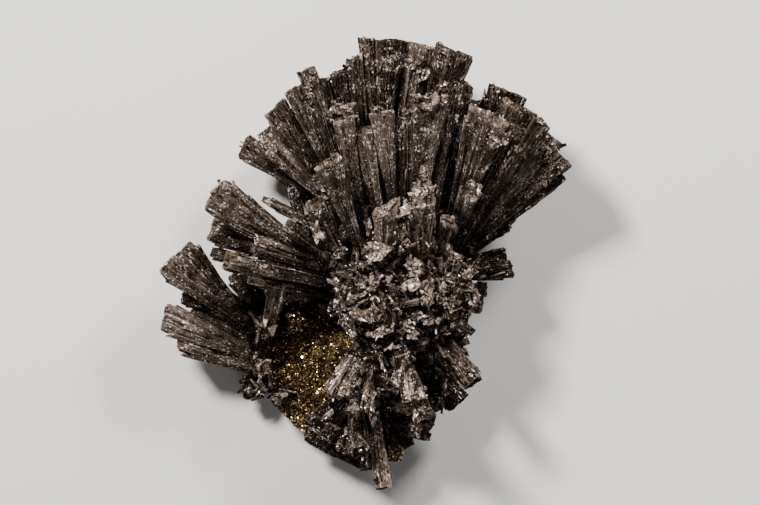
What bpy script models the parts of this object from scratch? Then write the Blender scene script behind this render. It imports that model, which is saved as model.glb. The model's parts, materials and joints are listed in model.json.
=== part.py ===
"""Enargite specimen: a cluster of flared, striated enargite crystals with a pyrite-lined hollow.

It lies on the flat cut at its back, at z = 0. +X is the side of the right-hand fan, +Y is where the tall
fans point, and +Z is the side that faces up. Lengths in the lists below are millimetres.
"""

import math
import random

import bmesh
import bpy
from mathutils import Matrix, Vector

MM = 0.001
JOINT_GAP = 0.3
CUT_BLOCK = 60.0
BLADE_SIDES = 6
STOUT_SIDES = 5
BLADE_OVERLAP = 1.35
BLADE_STEP = 1.1
SHELL_WELD = 0.001

HOLLOW_FLOOR = 7.5
CRUST_DEPTH = 1.3
CRUST_CELL = 2.2
CRUST_RELIEF = 0.45

# One row is one bundle of crystals that grew side by side:
# foot (x, y, z), tip (x, y, z), width at foot and tip, thickness at foot and tip, crystals across, slant of the tip
REAR_FAN = [
    ((2.6, 13.0, 12.0), (3.3, 45.0, 18.0), 6.0, 9.4, 7.0, 7.5, 4, -4),
    ((5.6, 15.0, 12.0), (10.8, 43.8, 16.5), 4.0, 5.8, 5.0, 5.0, 2, 0),
    ((8.6, 14.0, 12.0), (17.7, 42.7, 20.0), 5.0, 7.6, 6.0, 7.0, 3, -7),
    ((14.0, 13.0, 10.0), (20.4, 35.8, 13.5), 2.6, 2.6, 5.0, 4.0, 1, 8),
    ((-0.6, 15.0, 13.0), (-2.4, 41.6, 18.5), 2.6, 3.0, 5.0, 4.5, 2, 12),
    ((-1.6, 15.0, 13.0), (-5.2, 39.0, 18.0), 2.6, 3.6, 5.0, 4.5, 2, 14),
    ((-2.6, 14.0, 13.0), (-8.6, 38.0, 18.0), 2.6, 3.2, 5.0, 4.5, 1, -8),
    ((-3.4, 14.0, 15.0), (-11.4, 39.2, 21.5), 3.0, 3.8, 5.0, 5.0, 2, 10),
    ((-4.4, 13.0, 13.0), (-14.8, 35.4, 18.0), 3.0, 4.4, 5.0, 5.0, 2, 6),
    ((-5.0, 12.0, 12.0), (-18.2, 31.8, 17.0), 3.4, 5.2, 5.5, 5.5, 2, 8),
    ((-5.4, 11.6, 11.0), (-20.6, 28.0, 15.0), 3.4, 4.4, 5.0, 4.6, 1, 0),
    ((-5.6, 11.0, 13.0), (-20.6, 25.6, 17.5), 3.6, 4.4, 5.0, 4.6, 2, -6),
    ((-6.2, 12.0, 9.0), (-24.0, 22.7, 11.5), 3.6, 4.2, 5.0, 4.6, 2, 6),
]
MIDDLE_FAN = [
    ((-0.6, 3.0, 20.0), (-4.2, 28.6, 26.0), 2.4, 3.0, 5.0, 4.5, 1, 0),
    ((0.6, 3.0, 19.0), (-0.8, 26.4, 24.0), 3.0, 3.6, 5.0, 4.5, 1, 6),
    ((2.2, 3.0, 20.0), (2.7, 30.6, 27.5), 3.0, 3.8, 5.0, 5.0, 2, 0),
    ((4.4, 4.0, 19.0), (6.2, 29.8, 25.5), 3.0, 3.4, 5.0, 5.0, 1, -8),
    ((9.0, 5.0, 20.0), (12.6, 33.4, 28.5), 5.0, 8.0, 6.0, 7.0, 3, -6),
    ((12.0, 5.0, 20.0), (17.4, 35.4, 27.0), 3.4, 4.4, 5.0, 5.0, 2, 16),
    ((-1.4, 0.6, 22.0), (-7.6, 20.2, 30.0), 3.6, 4.8, 5.0, 5.5, 2, 14),
    ((-3.0, -1.0, 21.0), (-10.0, 12.4, 27.5), 3.6, 4.2, 5.0, 5.0, 2, 6),
    ((-1.0, 17.0, 18.0), (-4.6, 31.6, 23.0), 4.0, 5.4, 4.0, 4.0, 3, 0),
]
FRONT_FAN = [
    ((3.4, 0.0, 27.0), (4.2, 11.6, 35.0), 3.6, 5.0, 4.5, 4.5, 2, 14),
    ((11.0, -1.0, 27.0), (10.4, 13.0, 38.5), 4.4, 6.4, 4.5, 5.5, 2, -10),
    ((11.0, 8.0, 32.0), (11.8, 18.6, 36.0), 2.0, 1.0, 3.0, 1.4, 1, 0),
    ((15.0, 2.0, 25.0), (16.4, 9.4, 30.0), 2.6, 3.0, 3.0, 3.0, 1, 0),
    ((19.0, 8.0, 22.0), (21.8, 15.6, 28.5), 2.6, 3.0, 3.0, 3.0, 1, 12),
]
RIGHT_FAN = [
    ((18.0, 6.0, 13.0), (28.3, 34.4, 18.0), 5.0, 8.6, 6.0, 6.5, 3, -2),
    ((19.0, 6.0, 17.0), (30.4, 31.0, 23.0), 5.0, 8.0, 5.5, 5.5, 3, -4),
    ((16.0, 4.0, 20.0), (24.6, 29.6, 29.5), 5.0, 9.8, 6.0, 7.0, 3, -8),
    ((18.0, 3.0, 19.0), (30.6, 27.4, 27.0), 3.4, 4.8, 5.0, 5.0, 2, -4),
    ((24.0, 22.0, 27.0), (28.8, 26.8, 32.0), 2.0, 1.8, 3.0, 2.4, 1, 0),
    ((20.0, 5.0, 14.0), (35.6, 28.6, 20.5), 3.4, 3.6, 5.0, 4.5, 1, 4),
    ((20.0, 4.0, 13.0), (38.0, 25.6, 19.0), 3.4, 4.6, 5.0, 5.0, 2, 4),
    ((20.0, 3.0, 13.0), (40.2, 20.8, 19.0), 3.6, 4.8, 5.0, 5.0, 2, 4),
    ((20.0, 2.0, 12.0), (39.8, 16.8, 17.5), 3.2, 3.2, 5.0, 4.5, 1, 0),
    ((18.0, 1.6, 11.0), (34.6, 14.8, 14.5), 4.0, 4.0, 5.0, 4.5, 2, -10),
    ((16.0, 1.0, 9.0), (28.4, 7.8, 12.5), 4.0, 3.8, 5.0, 4.0, 2, -6),
    ((14.0, -1.0, 11.0), (28.6, 2.4, 14.5), 3.6, 3.0, 4.5, 3.5, 1, 0),
    ((14.0, -2.4, 13.0), (29.4, -1.0, 17.5), 4.0, 3.6, 4.5, 4.0, 2, 0),
    ((12.0, -4.0, 9.0), (24.4, -6.0, 12.5), 4.0, 3.0, 4.5, 3.5, 1, 0),
    ((12.0, -6.0, 9.0), (23.6, -9.2, 13.0), 4.0, 3.2, 4.5, 3.5, 1, 0),
]
LOWER_SPRAYS = [
    ((10.0, -9.0, 12.0), (20.4, -12.4, 16.0), 4.0, 3.4, 4.5, 3.5, 1, 0),
    ((10.0, -11.0, 12.0), (19.4, -16.0, 16.0), 4.0, 3.4, 4.5, 3.5, 1, 0),
    ((13.0, -12.0, 18.0), (21.8, -23.6, 24.0), 3.4, 4.6, 4.5, 4.5, 2, 0),
    ((14.0, -13.0, 14.0), (22.0, -22.8, 18.0), 3.4, 4.2, 4.0, 3.0, 1, 0),
    ((9.0, -17.0, 7.0), (18.8, -27.4, 10.5), 5.0, 6.0, 5.0, 4.6, 2, 0),
    ((8.0, -19.0, 7.0), (15.4, -29.6, 9.5), 4.0, 4.4, 5.0, 4.0, 1, 0),
    ((6.4, -15.0, 24.0), (9.8, -26.6, 32.5), 3.6, 5.4, 4.5, 4.5, 2, 0),
    ((7.0, -20.0, 13.0), (12.4, -31.6, 20.0), 4.0, 5.0, 4.5, 4.5, 2, 0),
    ((3.0, -29.6, 8.0), (13.2, -33.8, 15.0), 4.0, 4.6, 4.5, 4.0, 2, 0),
    ((1.4, -26.0, 10.0), (4.2, -45.2, 15.0), 3.4, 4.2, 4.5, 4.0, 1, 0),
    ((-2.4, -25.0, 9.0), (-0.8, -37.4, 20.0), 3.6, 5.0, 4.5, 4.5, 2, 0),
    ((-1.2, -15.0, 22.0), (-7.4, -25.6, 29.0), 2.0, 2.2, 3.0, 2.4, 1, 0),
    ((-0.4, -16.0, 22.0), (-4.2, -25.8, 28.5), 2.2, 2.4, 3.0, 2.4, 1, 0),
    ((2.0, -17.0, 21.0), (0.0, -28.6, 25.5), 2.4, 2.4, 3.4, 2.6, 1, 0),
    ((4.4, -17.0, 19.0), (4.6, -25.4, 22.5), 4.4, 5.0, 4.0, 3.6, 2, 0),
    ((-5.0, -17.4, 22.0), (3.6, -18.4, 24.0), 1.8, 1.8, 2.0, 2.0, 1, 0),
    ((0.0, -25.0, 6.0), (-6.8, -37.8, 8.0), 8.0, 15.6, 6.0, 5.0, 4, 0),
    ((-1.0, -24.0, 9.0), (-11.0, -31.6, 15.0), 3.6, 3.4, 3.6, 3.0, 2, 0),
    ((-1.0, -25.0, 9.0), (-8.0, -34.4, 14.5), 3.6, 3.4, 3.6, 3.0, 2, 0),
    ((-1.0, -26.0, 9.0), (-4.6, -37.6, 13.5), 3.6, 3.4, 3.6, 3.0, 2, 0),
    ((2.0, -26.0, 8.0), (7.0, -37.2, 10.0), 4.0, 4.6, 4.0, 3.4, 2, 0),
]
LEFT_SPRAYS = [
    ((-8.0, -0.4, 16.0), (-30.0, 13.4, 22.5), 5.0, 7.8, 5.0, 6.0, 3, -6),
    ((-12.0, 0.0, 11.0), (-31.0, 7.4, 14.5), 4.4, 6.4, 4.0, 4.0, 2, 0),
    ((-18.0, -1.0, 11.0), (-31.2, 2.6, 13.0), 3.0, 2.4, 3.4, 2.4, 1, 0),
    ((-14.0, -3.0, 14.0), (-28.6, 0.8, 19.5), 4.0, 5.4, 4.4, 4.6, 2, 0),
    ((-8.0, -0.6, 20.0), (-21.6, 3.9, 25.5), 3.6, 5.0, 4.0, 4.4, 2, 0),
    ((-6.0, -4.0, 20.0), (-21.4, -0.6, 25.5), 3.0, 2.6, 3.6, 3.0, 1, 0),
    ((-6.0, -6.0, 18.0), (-23.4, -3.0, 23.0), 3.0, 2.2, 3.4, 2.4, 1, 0),
    ((-6.6, 6.4, 14.0), (-20.6, 13.6, 16.5), 2.4, 0.8, 3.0, 1.2, 1, 0),
    ((-12.8, 8.6, 14.0), (-14.4, 15.8, 16.5), 2.0, 1.2, 2.4, 1.6, 1, 0),
    ((-9.0, 3.0, 20.0), (-15.4, 7.2, 23.5), 3.0, 2.6, 3.0, 2.4, 1, 0),
    ((-19.0, -4.0, 6.0), (-20.4, -16.4, 17.5), 3.0, 2.6, 4.0, 3.0, 1, 0),
    ((-19.0, -20.0, 3.0), (-20.8, -21.0, 13.5), 4.6, 4.2, 4.6, 3.6, 2, 0),
    ((-23.0, -12.0, 10.0), (-38.0, 1.6, 15.5), 5.6, 10.2, 5.6, 6.0, 3, -2),
    ((-22.0, -10.0, 9.0), (-32.8, 2.8, 13.0), 4.0, 4.0, 4.0, 3.6, 1, 10),
    ((-19.0, -20.0, 8.0), (-40.6, -11.8, 13.0), 5.4, 6.2, 5.0, 5.4, 3, 2),
    ((-19.0, -17.0, 6.0), (-35.4, -9.8, 9.5), 4.6, 4.4, 4.4, 3.6, 2, 0),
    ((-23.0, -9.0, 9.0), (-28.8, -6.0, 16.5), 3.4, 2.6, 3.0, 2.6, 1, 0),
    ((-23.6, -6.4, 10.0), (-29.2, 1.4, 13.0), 2.0, 1.4, 2.4, 1.8, 1, 0),
    ((-18.0, -23.4, 4.0), (-24.6, -25.4, 7.0), 4.0, 3.4, 4.0, 3.2, 1, 0),
    ((-21.0, -8.0, 8.0), (-25.0, -2.0, 12.0), 5.0, 5.0, 4.0, 3.6, 2, 0),
    ((-14.0, -30.6, 3.0), (-19.6, -27.0, 8.6), 2.4, 1.6, 2.6, 1.6, 1, 0),
]
# Crystals low on the cluster, hidden from above by the ones over them.
UNDER_FAN = [
    ((0.0, 8.0, 6.0), (-1.0, 30.0, 9.5), 8.0, 8.0, 7.0, 5.0, 2, 0),
    ((8.0, 8.0, 6.0), (11.0, 31.0, 9.5), 8.0, 8.0, 7.0, 5.0, 2, 0),
    ((-5.0, 6.0, 6.0), (-14.0, 21.0, 8.5), 7.0, 6.0, 6.0, 4.5, 1, 0),
    ((13.0, 5.0, 6.0), (21.4, 25.0, 9.0), 7.0, 8.0, 6.0, 4.5, 2, 0),
    ((14.0, 2.0, 5.0), (28.0, 13.0, 8.5), 6.0, 6.0, 5.5, 4.0, 1, 0),
    ((-8.0, 2.0, 5.5), (-21.0, 6.0, 8.5), 6.0, 5.0, 5.5, 4.0, 1, 0),
]
# Massive enargite that the crystals grew from: centre, radii.
MASSIVE = [
    ((6.0, 2.0, 6.0), (13.5, 14.0, 17.0)),
    ((7.0, -9.0, 6.0), (11.0, 13.0, 16.0)),
    ((2.0, -24.0, 3.0), (8.5, 10.0, 8.0)),
    ((-8.0, 0.0, 4.0), (11.0, 7.5, 13.0)),
    ((-20.0, -13.0, 2.0), (6.5, 11.0, 7.0)),
    ((-12.0, -5.5, 1.0), (8.0, 6.0, 6.0)),
]
# Short crystals standing on the middle of the cluster.
CROWN_CENTRE = (7.5, -5.6)
CROWN_REACH = (13.5, 10.5)
CROWN_COUNT = 28
CROWN_FOOT = 17.0
CROWN_TOP = 31.5
CROWN_SIZE = (2.6, 5.0)
# Stout crystals round the foot of the cluster, just above the cut.
SKIRT_CENTRE = (2.0, -6.0)
SKIRT = [
    (10, 17.0, 26.0), (38, 17.0, 26.0), (66, 16.0, 27.0), (93, 18.0, 27.0), (122, 14.0, 25.0),
    (150, 12.0, 23.0), (184, 22.0, 30.0), (206, 22.0, 29.5), (284, 22.0, 30.0), (262, 22.0, 31.5),
    (308, 15.0, 23.0), (332, 13.0, 20.0), (352, 13.0, 21.0),
]

# The hollow: its rim seen from above, the pit of deep shade under the bundles, and the slope to the edge.
HOLLOW_RIM = [
    (-17.4, -11.0), (-12.5, -7.6), (-5.0, -8.0), (-0.6, -13.0), (-0.8, -19.0), (-4.0, -24.0), (-6.4, -29.0),
    (-10.6, -34.6), (-13.8, -33.2), (-17.8, -29.0), (-19.4, -23.0), (-18.6, -17.0),
]
# Dips in the floor: centre, depth, reach. The last is where it falls away at the open edge.
FLOOR_DIPS = [(-8.0, -9.5, 3.0, 6.0), (-17.0, -34.0, 4.0, 5.5)]
PATCH_RIM = [(4.6, -36.4), (6.6, -36.0), (7.8, -37.0), (7.4, -39.4), (5.8, -39.7), (4.8, -39.0)]
PATCH_FLOOR = 11.0
PATCH_LEDGE = ((2.0, -27.0, 7.0), (6.2, -39.2, 9.2), 4.0, 3.4, 4.0, 3.0, 1, 0)


def make_material(name, colour, metallic, roughness):
    """A Principled material with one plain finish."""
    material = bpy.data.materials.new(name)
    material.use_nodes = True
    shader = material.node_tree.nodes["Principled BSDF"]
    shader.inputs["Base Color"].default_value = (*colour, 1.0)
    shader.inputs["Metallic"].default_value = metallic
    shader.inputs["Roughness"].default_value = roughness
    material.diffuse_color = (*colour, 1.0)
    return material


def make_object(name, bm, material=None):
    """A new object in the scene from a bmesh whose lengths are millimetres."""
    bmesh.ops.recalc_face_normals(bm, faces=bm.faces)
    bmesh.ops.scale(bm, vec=(MM, MM, MM), verts=bm.verts)
    mesh = bpy.data.meshes.new(name)
    bm.to_mesh(mesh)
    bm.free()
    obj = bpy.data.objects.new(name, mesh)
    bpy.context.scene.collection.objects.link(obj)
    if material:
        mesh.materials.append(material)
    return obj


def ring(bm, centre, side, up, half_width, half_thickness, angles):
    """The corners of one flat cross-section."""
    return [
        bm.verts.new(centre + side * (math.cos(a) * half_width) + up * (math.sin(a) * half_thickness))
        for a in angles
    ]


def add_prism(bm, foot, tip, foot_size, tip_size, slant, nod, phase, sides, grow):
    """A flared flat-ended crystal. The tip is turned by slant in plan and by nod towards +Z."""
    axis = (tip - foot).normalized()
    side = axis.cross(Vector((0.0, 0.0, 1.0)))
    side = side.normalized() if side.length > 0.2 else Vector((1.0, 0.0, 0.0))
    up = side.cross(axis)
    angles = [math.tau * (k + phase) / sides for k in range(sides)]
    tip_side = Matrix.Rotation(slant, 3, up) @ side
    tip_up = Matrix.Rotation(nod, 3, side) @ up
    low = ring(bm, foot - axis * grow, side, up, foot_size[0] / 2 + grow, foot_size[1] / 2 + grow, angles)
    high = ring(bm, tip + axis * grow, tip_side, tip_up, tip_size[0] / 2 + grow, tip_size[1] / 2 + grow, angles)
    bm.faces.new(list(reversed(low)))
    bm.faces.new(high)
    for k in range(sides):
        after = (k + 1) % sides
        bm.faces.new((low[k], low[after], high[after], high[k]))


def bundle_blades(row, seed):
    """The crystals of one bundle, fanned out side by side with stepped ends."""
    foot, tip, foot_width, tip_width, foot_thick, tip_thick, count, slant = row
    rng = random.Random(seed)
    foot = Vector(foot)
    tip = Vector(tip)
    axis = (tip - foot).normalized()
    side = axis.cross(Vector((0.0, 0.0, 1.0))).normalized()
    up = side.cross(axis)
    turned = Matrix.Rotation(math.radians(slant), 3, up) @ side
    blades = []
    for k in range(count):
        share = (k + 0.5) / count - 0.5
        step = 0.0 if count == 1 else rng.uniform(-BLADE_STEP, 0.0)
        sink = -0.35 * tip_thick * share * share
        start = foot + side * (share * foot_width * 0.8)
        end = tip + turned * (share * tip_width) + axis * step + up * (sink + rng.uniform(-0.3, 0.3))
        spread = BLADE_OVERLAP if count > 1 else 1.0
        size = (foot_width / count * spread, foot_thick)
        end_size = (tip_width / count * spread, tip_thick * rng.uniform(0.88, 1.0))
        nod = math.radians(rng.uniform(-4, 16))
        turn = math.radians(slant * 0.6)
        blades.append((start, end, size, end_size, turn, nod, rng.uniform(0.0, 1.0), BLADE_SIDES))
    return blades


def crown_blades():
    """Short crystals packed in a sunflower spread, leaning outwards and all ways."""
    rng = random.Random(31)
    blades = []
    for k in range(CROWN_COUNT):
        reach = math.sqrt((k + 0.5) / CROWN_COUNT)
        turn = k * math.radians(137.5)
        x = CROWN_CENTRE[0] + CROWN_REACH[0] * reach * math.cos(turn)
        y = CROWN_CENTRE[1] + CROWN_REACH[1] * reach * math.sin(turn)
        lean = Vector((math.cos(turn), math.sin(turn), 0.0)) * (3.0 * reach)
        lean += Vector((rng.uniform(-2.4, 2.4), rng.uniform(-2.4, 2.4), 0.0))
        top = Vector((x, y, CROWN_TOP - 5.0 * reach**2 + rng.uniform(-1.5, 1.5)))
        foot = Vector((x, y, CROWN_FOOT - 3.0 * reach)) - lean
        size = (rng.uniform(*CROWN_SIZE), rng.uniform(*CROWN_SIZE))
        end_size = (size[0] * 0.9, size[1] * 0.8)
        tilt = math.radians(rng.uniform(-32, 32))
        blades.append((foot, top, size, end_size, tilt, tilt, rng.uniform(0.0, 1.0), STOUT_SIDES))
    return blades


def skirt_blades():
    """Stout crystals spreading low round the foot."""
    rng = random.Random(57)
    blades = []
    for bearing, start, end in SKIRT:
        out = Vector((math.cos(math.radians(bearing)), math.sin(math.radians(bearing)), 0.0))
        middle = Vector((*SKIRT_CENTRE, 0.0))
        foot = middle + out * (start - 6.0) + Vector((0.0, 0.0, 2.5))
        tip = middle + out * end + Vector((0.0, 0.0, rng.uniform(4.5, 6.5)))
        width = rng.uniform(5.4, 7.0)
        end_size = (width * 0.9, 4.6)
        blades.append((foot, tip, (width, 6.0), end_size, 0.0, 0.2, rng.uniform(0.0, 1.0), STOUT_SIDES))
    return blades


def all_blades():
    """Every crystal of the cluster, in growing order."""
    blades = []
    fans = (REAR_FAN, MIDDLE_FAN, FRONT_FAN, RIGHT_FAN, LOWER_SPRAYS, LEFT_SPRAYS, UNDER_FAN, [PATCH_LEDGE])
    for group, rows in enumerate(fans):
        for number, row in enumerate(rows):
            blades.extend(bundle_blades(row, 100 * group + number))
    return blades + crown_blades() + skirt_blades()


def lump(bm, centre, radii, seed):
    """A rough rounded mass."""
    rng = random.Random(seed)
    made = bmesh.ops.create_icosphere(bm, subdivisions=2, radius=1.0)
    for vert in made["verts"]:
        swell = 1.0 + rng.uniform(-0.07, 0.07)
        vert.co = Vector([c + r * v * swell for c, r, v in zip(centre, radii, vert.co)])


def floor_height(x, y):
    """Height of the hollow's floor: it dips in the pit under the bundles and falls away at the open edge."""
    height = HOLLOW_FLOOR
    for dip_x, dip_y, depth, reach in FLOOR_DIPS:
        height -= depth * math.exp(-((x - dip_x) ** 2 + (y - dip_y) ** 2) / reach**2)
    return height


def slab(name, rim, top, bottom, material=None):
    """A slab of the rim's outline, its two sides given as heights over the plan."""
    low = [min(p[axis] for p in rim) - CRUST_CELL for axis in (0, 1)]
    columns, rows = [
        math.ceil((max(p[axis] for p in rim) + CRUST_CELL - low[axis]) / CRUST_CELL) for axis in (0, 1)
    ]
    bm = bmesh.new()
    sides = []
    for height in (top, bottom):
        grid = {}
        for i in range(columns + 1):
            for j in range(rows + 1):
                x = low[0] + i * CRUST_CELL
                y = low[1] + j * CRUST_CELL
                grid[i, j] = bm.verts.new((x, y, height(x, y)))
        for i in range(columns):
            for j in range(rows):
                bm.faces.new((grid[i, j], grid[i + 1, j], grid[i + 1, j + 1], grid[i, j + 1]))
        sides.append(grid)
    bmesh.ops.reverse_faces(bm, faces=bm.faces[columns * rows :])
    edge = [(i, 0) for i in range(columns)] + [(columns, j) for j in range(rows)]
    edge += [(i, rows) for i in range(columns, 0, -1)] + [(0, j) for j in range(rows, 0, -1)]
    for k, key in enumerate(edge):
        after = edge[(k + 1) % len(edge)]
        bm.faces.new((sides[1][key], sides[1][after], sides[0][after], sides[0][key]))
    made = make_object(name, bm, material)
    trim = bmesh.new()
    foot = trim.faces.new([trim.verts.new((x, y, -CUT_BLOCK)) for x, y in rim])
    grown = bmesh.ops.extrude_face_region(trim, geom=[foot])
    lifted = [item for item in grown["geom"] if isinstance(item, bmesh.types.BMVert)]
    bmesh.ops.translate(trim, verts=lifted, vec=(0.0, 0.0, 2 * CUT_BLOCK))
    boolean(made, "INTERSECT", [make_object(f"{name}_rim", trim)])
    return made


def boolean(target, operation, tools):
    """Joins or cuts the target with tools, which are then removed."""
    group = bpy.data.collections.new("tools")
    bpy.context.scene.collection.children.link(group)
    for tool in tools:
        group.objects.link(tool)
    modifier = target.modifiers.new("shape", "BOOLEAN")
    modifier.operation = operation
    modifier.operand_type = "COLLECTION"
    modifier.collection = group
    modifier.solver = "EXACT"
    graph = bpy.context.evaluated_depsgraph_get()
    result = bpy.data.meshes.new_from_object(target.evaluated_get(graph))
    target.modifiers.remove(modifier)
    result.materials.clear()
    for material in target.data.materials:
        result.materials.append(material)
    target.data = result
    for tool in tools:
        bpy.data.objects.remove(tool)
    bpy.data.collections.remove(group)


def keep_outer_shell(obj):
    """Welds tiny edges and keeps the outside skin, which fills the spaces closed in between crystals."""
    bm = bmesh.new()
    bm.from_mesh(obj.data)
    bmesh.ops.triangulate(bm, faces=bm.faces)
    bmesh.ops.remove_doubles(bm, verts=bm.verts, dist=SHELL_WELD * MM)
    bmesh.ops.dissolve_degenerate(bm, edges=bm.edges, dist=SHELL_WELD * MM)
    left = set(bm.faces)
    shells = []
    while left:
        todo = [left.pop()]
        shell = set(todo)
        while todo:
            for edge in todo.pop().edges:
                for face in edge.link_faces if len(edge.link_faces) == 2 else ():
                    if face in left:
                        left.remove(face)
                        shell.add(face)
                        todo.append(face)
        shells.append(shell)
    outer = max(shells, key=lambda shell: sum(face.calc_area() for face in shell))
    bmesh.ops.delete(bm, geom=[face for face in bm.faces if face not in outer], context="FACES")
    bmesh.ops.triangulate(bm, faces=bm.faces)
    for face in bm.faces:
        face.smooth = False
    bm.to_mesh(obj.data)
    bm.free()


def box(name, low, high):
    """A plain block between two corners."""
    bm = bmesh.new()
    bmesh.ops.create_cube(bm, size=1.0)
    for vert in bm.verts:
        vert.co = Vector([a if v < 0 else b for a, b, v in zip(low, high, vert.co)])
    return make_object(name, bm)


def prism_objects(prefix, blades, grow):
    """One object for each crystal."""
    made = []
    for number, blade in enumerate(blades):
        bm = bmesh.new()
        add_prism(bm, *blade, grow)
        made.append(make_object(f"{prefix}_{number}", bm))
    return made


def back_cutter():
    """The block that takes off everything behind the flat back."""
    low = (-CUT_BLOCK, -CUT_BLOCK, -CUT_BLOCK)
    return box("back_cutter", low, (CUT_BLOCK, CUT_BLOCK, 0.0))


def lump_objects(prefix, grow):
    """One object for each mass of the body."""
    made = []
    for number, (centre, radii) in enumerate(MASSIVE):
        bm = bmesh.new()
        lump(bm, centre, [r + grow for r in radii], 40 + number)
        made.append(make_object(f"{prefix}_{number}", bm))
    return made


def make_cluster(material):
    """The whole body of enargite: massive root, hollow's floor and every crystal, cut flat at the back."""
    cluster = slab("enargite_crystals", HOLLOW_RIM, floor_height, lambda x, y: -4.0, material)
    tools = lump_objects("mass", 0.0) + prism_objects("crystal", all_blades(), 0.0)
    boolean(cluster, "UNION", tools)
    boolean(cluster, "DIFFERENCE", [back_cutter()])
    keep_outer_shell(cluster)
    return cluster


def make_crust(name, rim, floor, material, seed):
    """A druse of small crystals on a floor, trimmed clear of the crystals round it."""
    rng = random.Random(seed)
    bumps = {}

    def top(x, y):
        key = (round(x, 3), round(y, 3))
        if key not in bumps:
            bumps[key] = rng.uniform(-CRUST_RELIEF, CRUST_RELIEF)
        return floor(x, y) + JOINT_GAP + CRUST_DEPTH + bumps[key]

    crust = slab(name, rim, top, lambda x, y: floor(x, y) + JOINT_GAP, material)
    tools = lump_objects("mass", JOINT_GAP) + prism_objects("crystal", all_blades(), JOINT_GAP)
    boolean(crust, "DIFFERENCE", tools)
    keep_outer_shell(crust)
    return crust


def main():
    for obj in list(bpy.data.objects):
        bpy.data.objects.remove(obj)
    enargite = make_material("enargite", (0.055, 0.047, 0.042), 0.85, 0.42)
    pyrite = make_material("pyrite", (0.55, 0.36, 0.11), 1.0, 0.32)
    make_cluster(enargite)
    make_crust("pyrite_druse", HOLLOW_RIM, floor_height, pyrite, 7)
    make_crust("pyrite_patch", PATCH_RIM, lambda x, y: PATCH_FLOOR, pyrite, 8)


main()
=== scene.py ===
"""Looks of the enargite specimen: a cluster of flared metallic crystals with a pyrite-lined hollow, lying
on its flat cut back. Lengths in the lists are millimetres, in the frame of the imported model."""

import json
import math
import random

import bmesh
import bpy
import numpy as np
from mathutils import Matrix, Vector, noise
from mathutils.bvhtree import BVHTree
from mathutils.geometry import delaunay_2d_cdt

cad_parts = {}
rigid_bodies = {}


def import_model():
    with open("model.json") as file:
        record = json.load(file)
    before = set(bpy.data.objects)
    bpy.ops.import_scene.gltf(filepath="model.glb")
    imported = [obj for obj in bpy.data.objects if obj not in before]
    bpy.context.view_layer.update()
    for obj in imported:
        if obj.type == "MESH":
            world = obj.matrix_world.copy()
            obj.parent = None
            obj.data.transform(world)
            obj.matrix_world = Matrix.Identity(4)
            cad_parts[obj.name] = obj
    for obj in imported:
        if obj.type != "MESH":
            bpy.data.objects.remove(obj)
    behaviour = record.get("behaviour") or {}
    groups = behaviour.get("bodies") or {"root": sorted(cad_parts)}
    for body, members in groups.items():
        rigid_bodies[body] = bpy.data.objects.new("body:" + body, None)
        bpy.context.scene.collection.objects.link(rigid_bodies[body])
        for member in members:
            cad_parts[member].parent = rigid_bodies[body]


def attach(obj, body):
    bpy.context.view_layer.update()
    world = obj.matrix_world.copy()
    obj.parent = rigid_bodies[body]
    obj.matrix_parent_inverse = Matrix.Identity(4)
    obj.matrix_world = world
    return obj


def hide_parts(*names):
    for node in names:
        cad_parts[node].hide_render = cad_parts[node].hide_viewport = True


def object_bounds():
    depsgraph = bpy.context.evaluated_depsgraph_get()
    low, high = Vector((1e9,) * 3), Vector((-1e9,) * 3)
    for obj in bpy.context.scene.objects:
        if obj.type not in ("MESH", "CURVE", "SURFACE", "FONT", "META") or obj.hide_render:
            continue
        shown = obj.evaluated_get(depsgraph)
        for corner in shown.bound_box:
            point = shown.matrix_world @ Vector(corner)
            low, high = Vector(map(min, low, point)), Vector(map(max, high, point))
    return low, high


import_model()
cad_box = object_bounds()

# ---------------------------------------------------------------------------------------------------------
# Studio: a plain pale paper floor under the cut back, a long lens looking straight down, and soft lights
# from above the tall fans, so that the steps and striations throw short shadows.
# ---------------------------------------------------------------------------------------------------------
MM = 0.001
PICTURE_WIDTH_PX = 760
MM_PER_PX = 0.2
FOCUS_HEIGHT = 18.0
CAMERA_RANGE = 844.0
CAMERA_OVER = (3.0, 2.5)
SENSOR = 36.0
FLOOR_REACH_M = 3.0
PAPER = "#d9d6d2"
# Each lamp is its name, place and width in metres, and its power in watts.
LAMPS = [
    ("key", (-0.30, 0.34, 0.50), 0.12, 10.0),
    ("side", (0.30, 0.44, 0.34), 0.12, 5.0),
    ("fill", (0.05, -0.45, 0.60), 0.5, 0.7),
]
LAMP_AIM = Vector((0.0, 0.0, 0.015))
SURROUND = 0.05


def to_linear(code):
    """Linear RGB of an sRGB hex colour."""
    parts = [int(code[k : k + 2], 16) / 255 for k in (1, 3, 5)]
    return tuple(p / 12.92 if p <= 0.04045 else ((p + 0.055) / 1.055) ** 2.4 for p in parts)


def add_node(tree, kind, *values, links=None, **settings):
    """A node with its settings. Values fill its inputs in order, and links fill them by name or number.
    Each is a constant, a socket, or a node, which stands for the first of its outputs that is in use."""
    node = tree.nodes.new(kind)
    for key, value in settings.items():
        setattr(node, key, value)
    for key, value in (dict(enumerate(values)) | (links or {})).items():
        if isinstance(value, bpy.types.Node):
            value = next(output for output in value.outputs if output.enabled)
        if isinstance(value, bpy.types.NodeSocket):
            tree.links.new(value, node.inputs[key])
        else:
            node.inputs[key].default_value = value
    return node


def new_material(name):
    """An empty node material with its Principled shader."""
    material = bpy.data.materials.new(name)
    material.use_nodes = True
    return material, material.node_tree, material.node_tree.nodes["Principled BSDF"]


def mesh_of(bm, name):
    """The named mesh of a bmesh, which is used up."""
    mesh = bpy.data.meshes.new(name)
    bm.to_mesh(mesh)
    bm.free()
    return mesh


def make_object(name, data, material=None):
    """An object at the origin, in the scene."""
    made = bpy.data.objects.new(name, data)
    bpy.context.scene.collection.objects.link(made)
    if material:
        data.materials.append(material)
    return made


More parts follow.
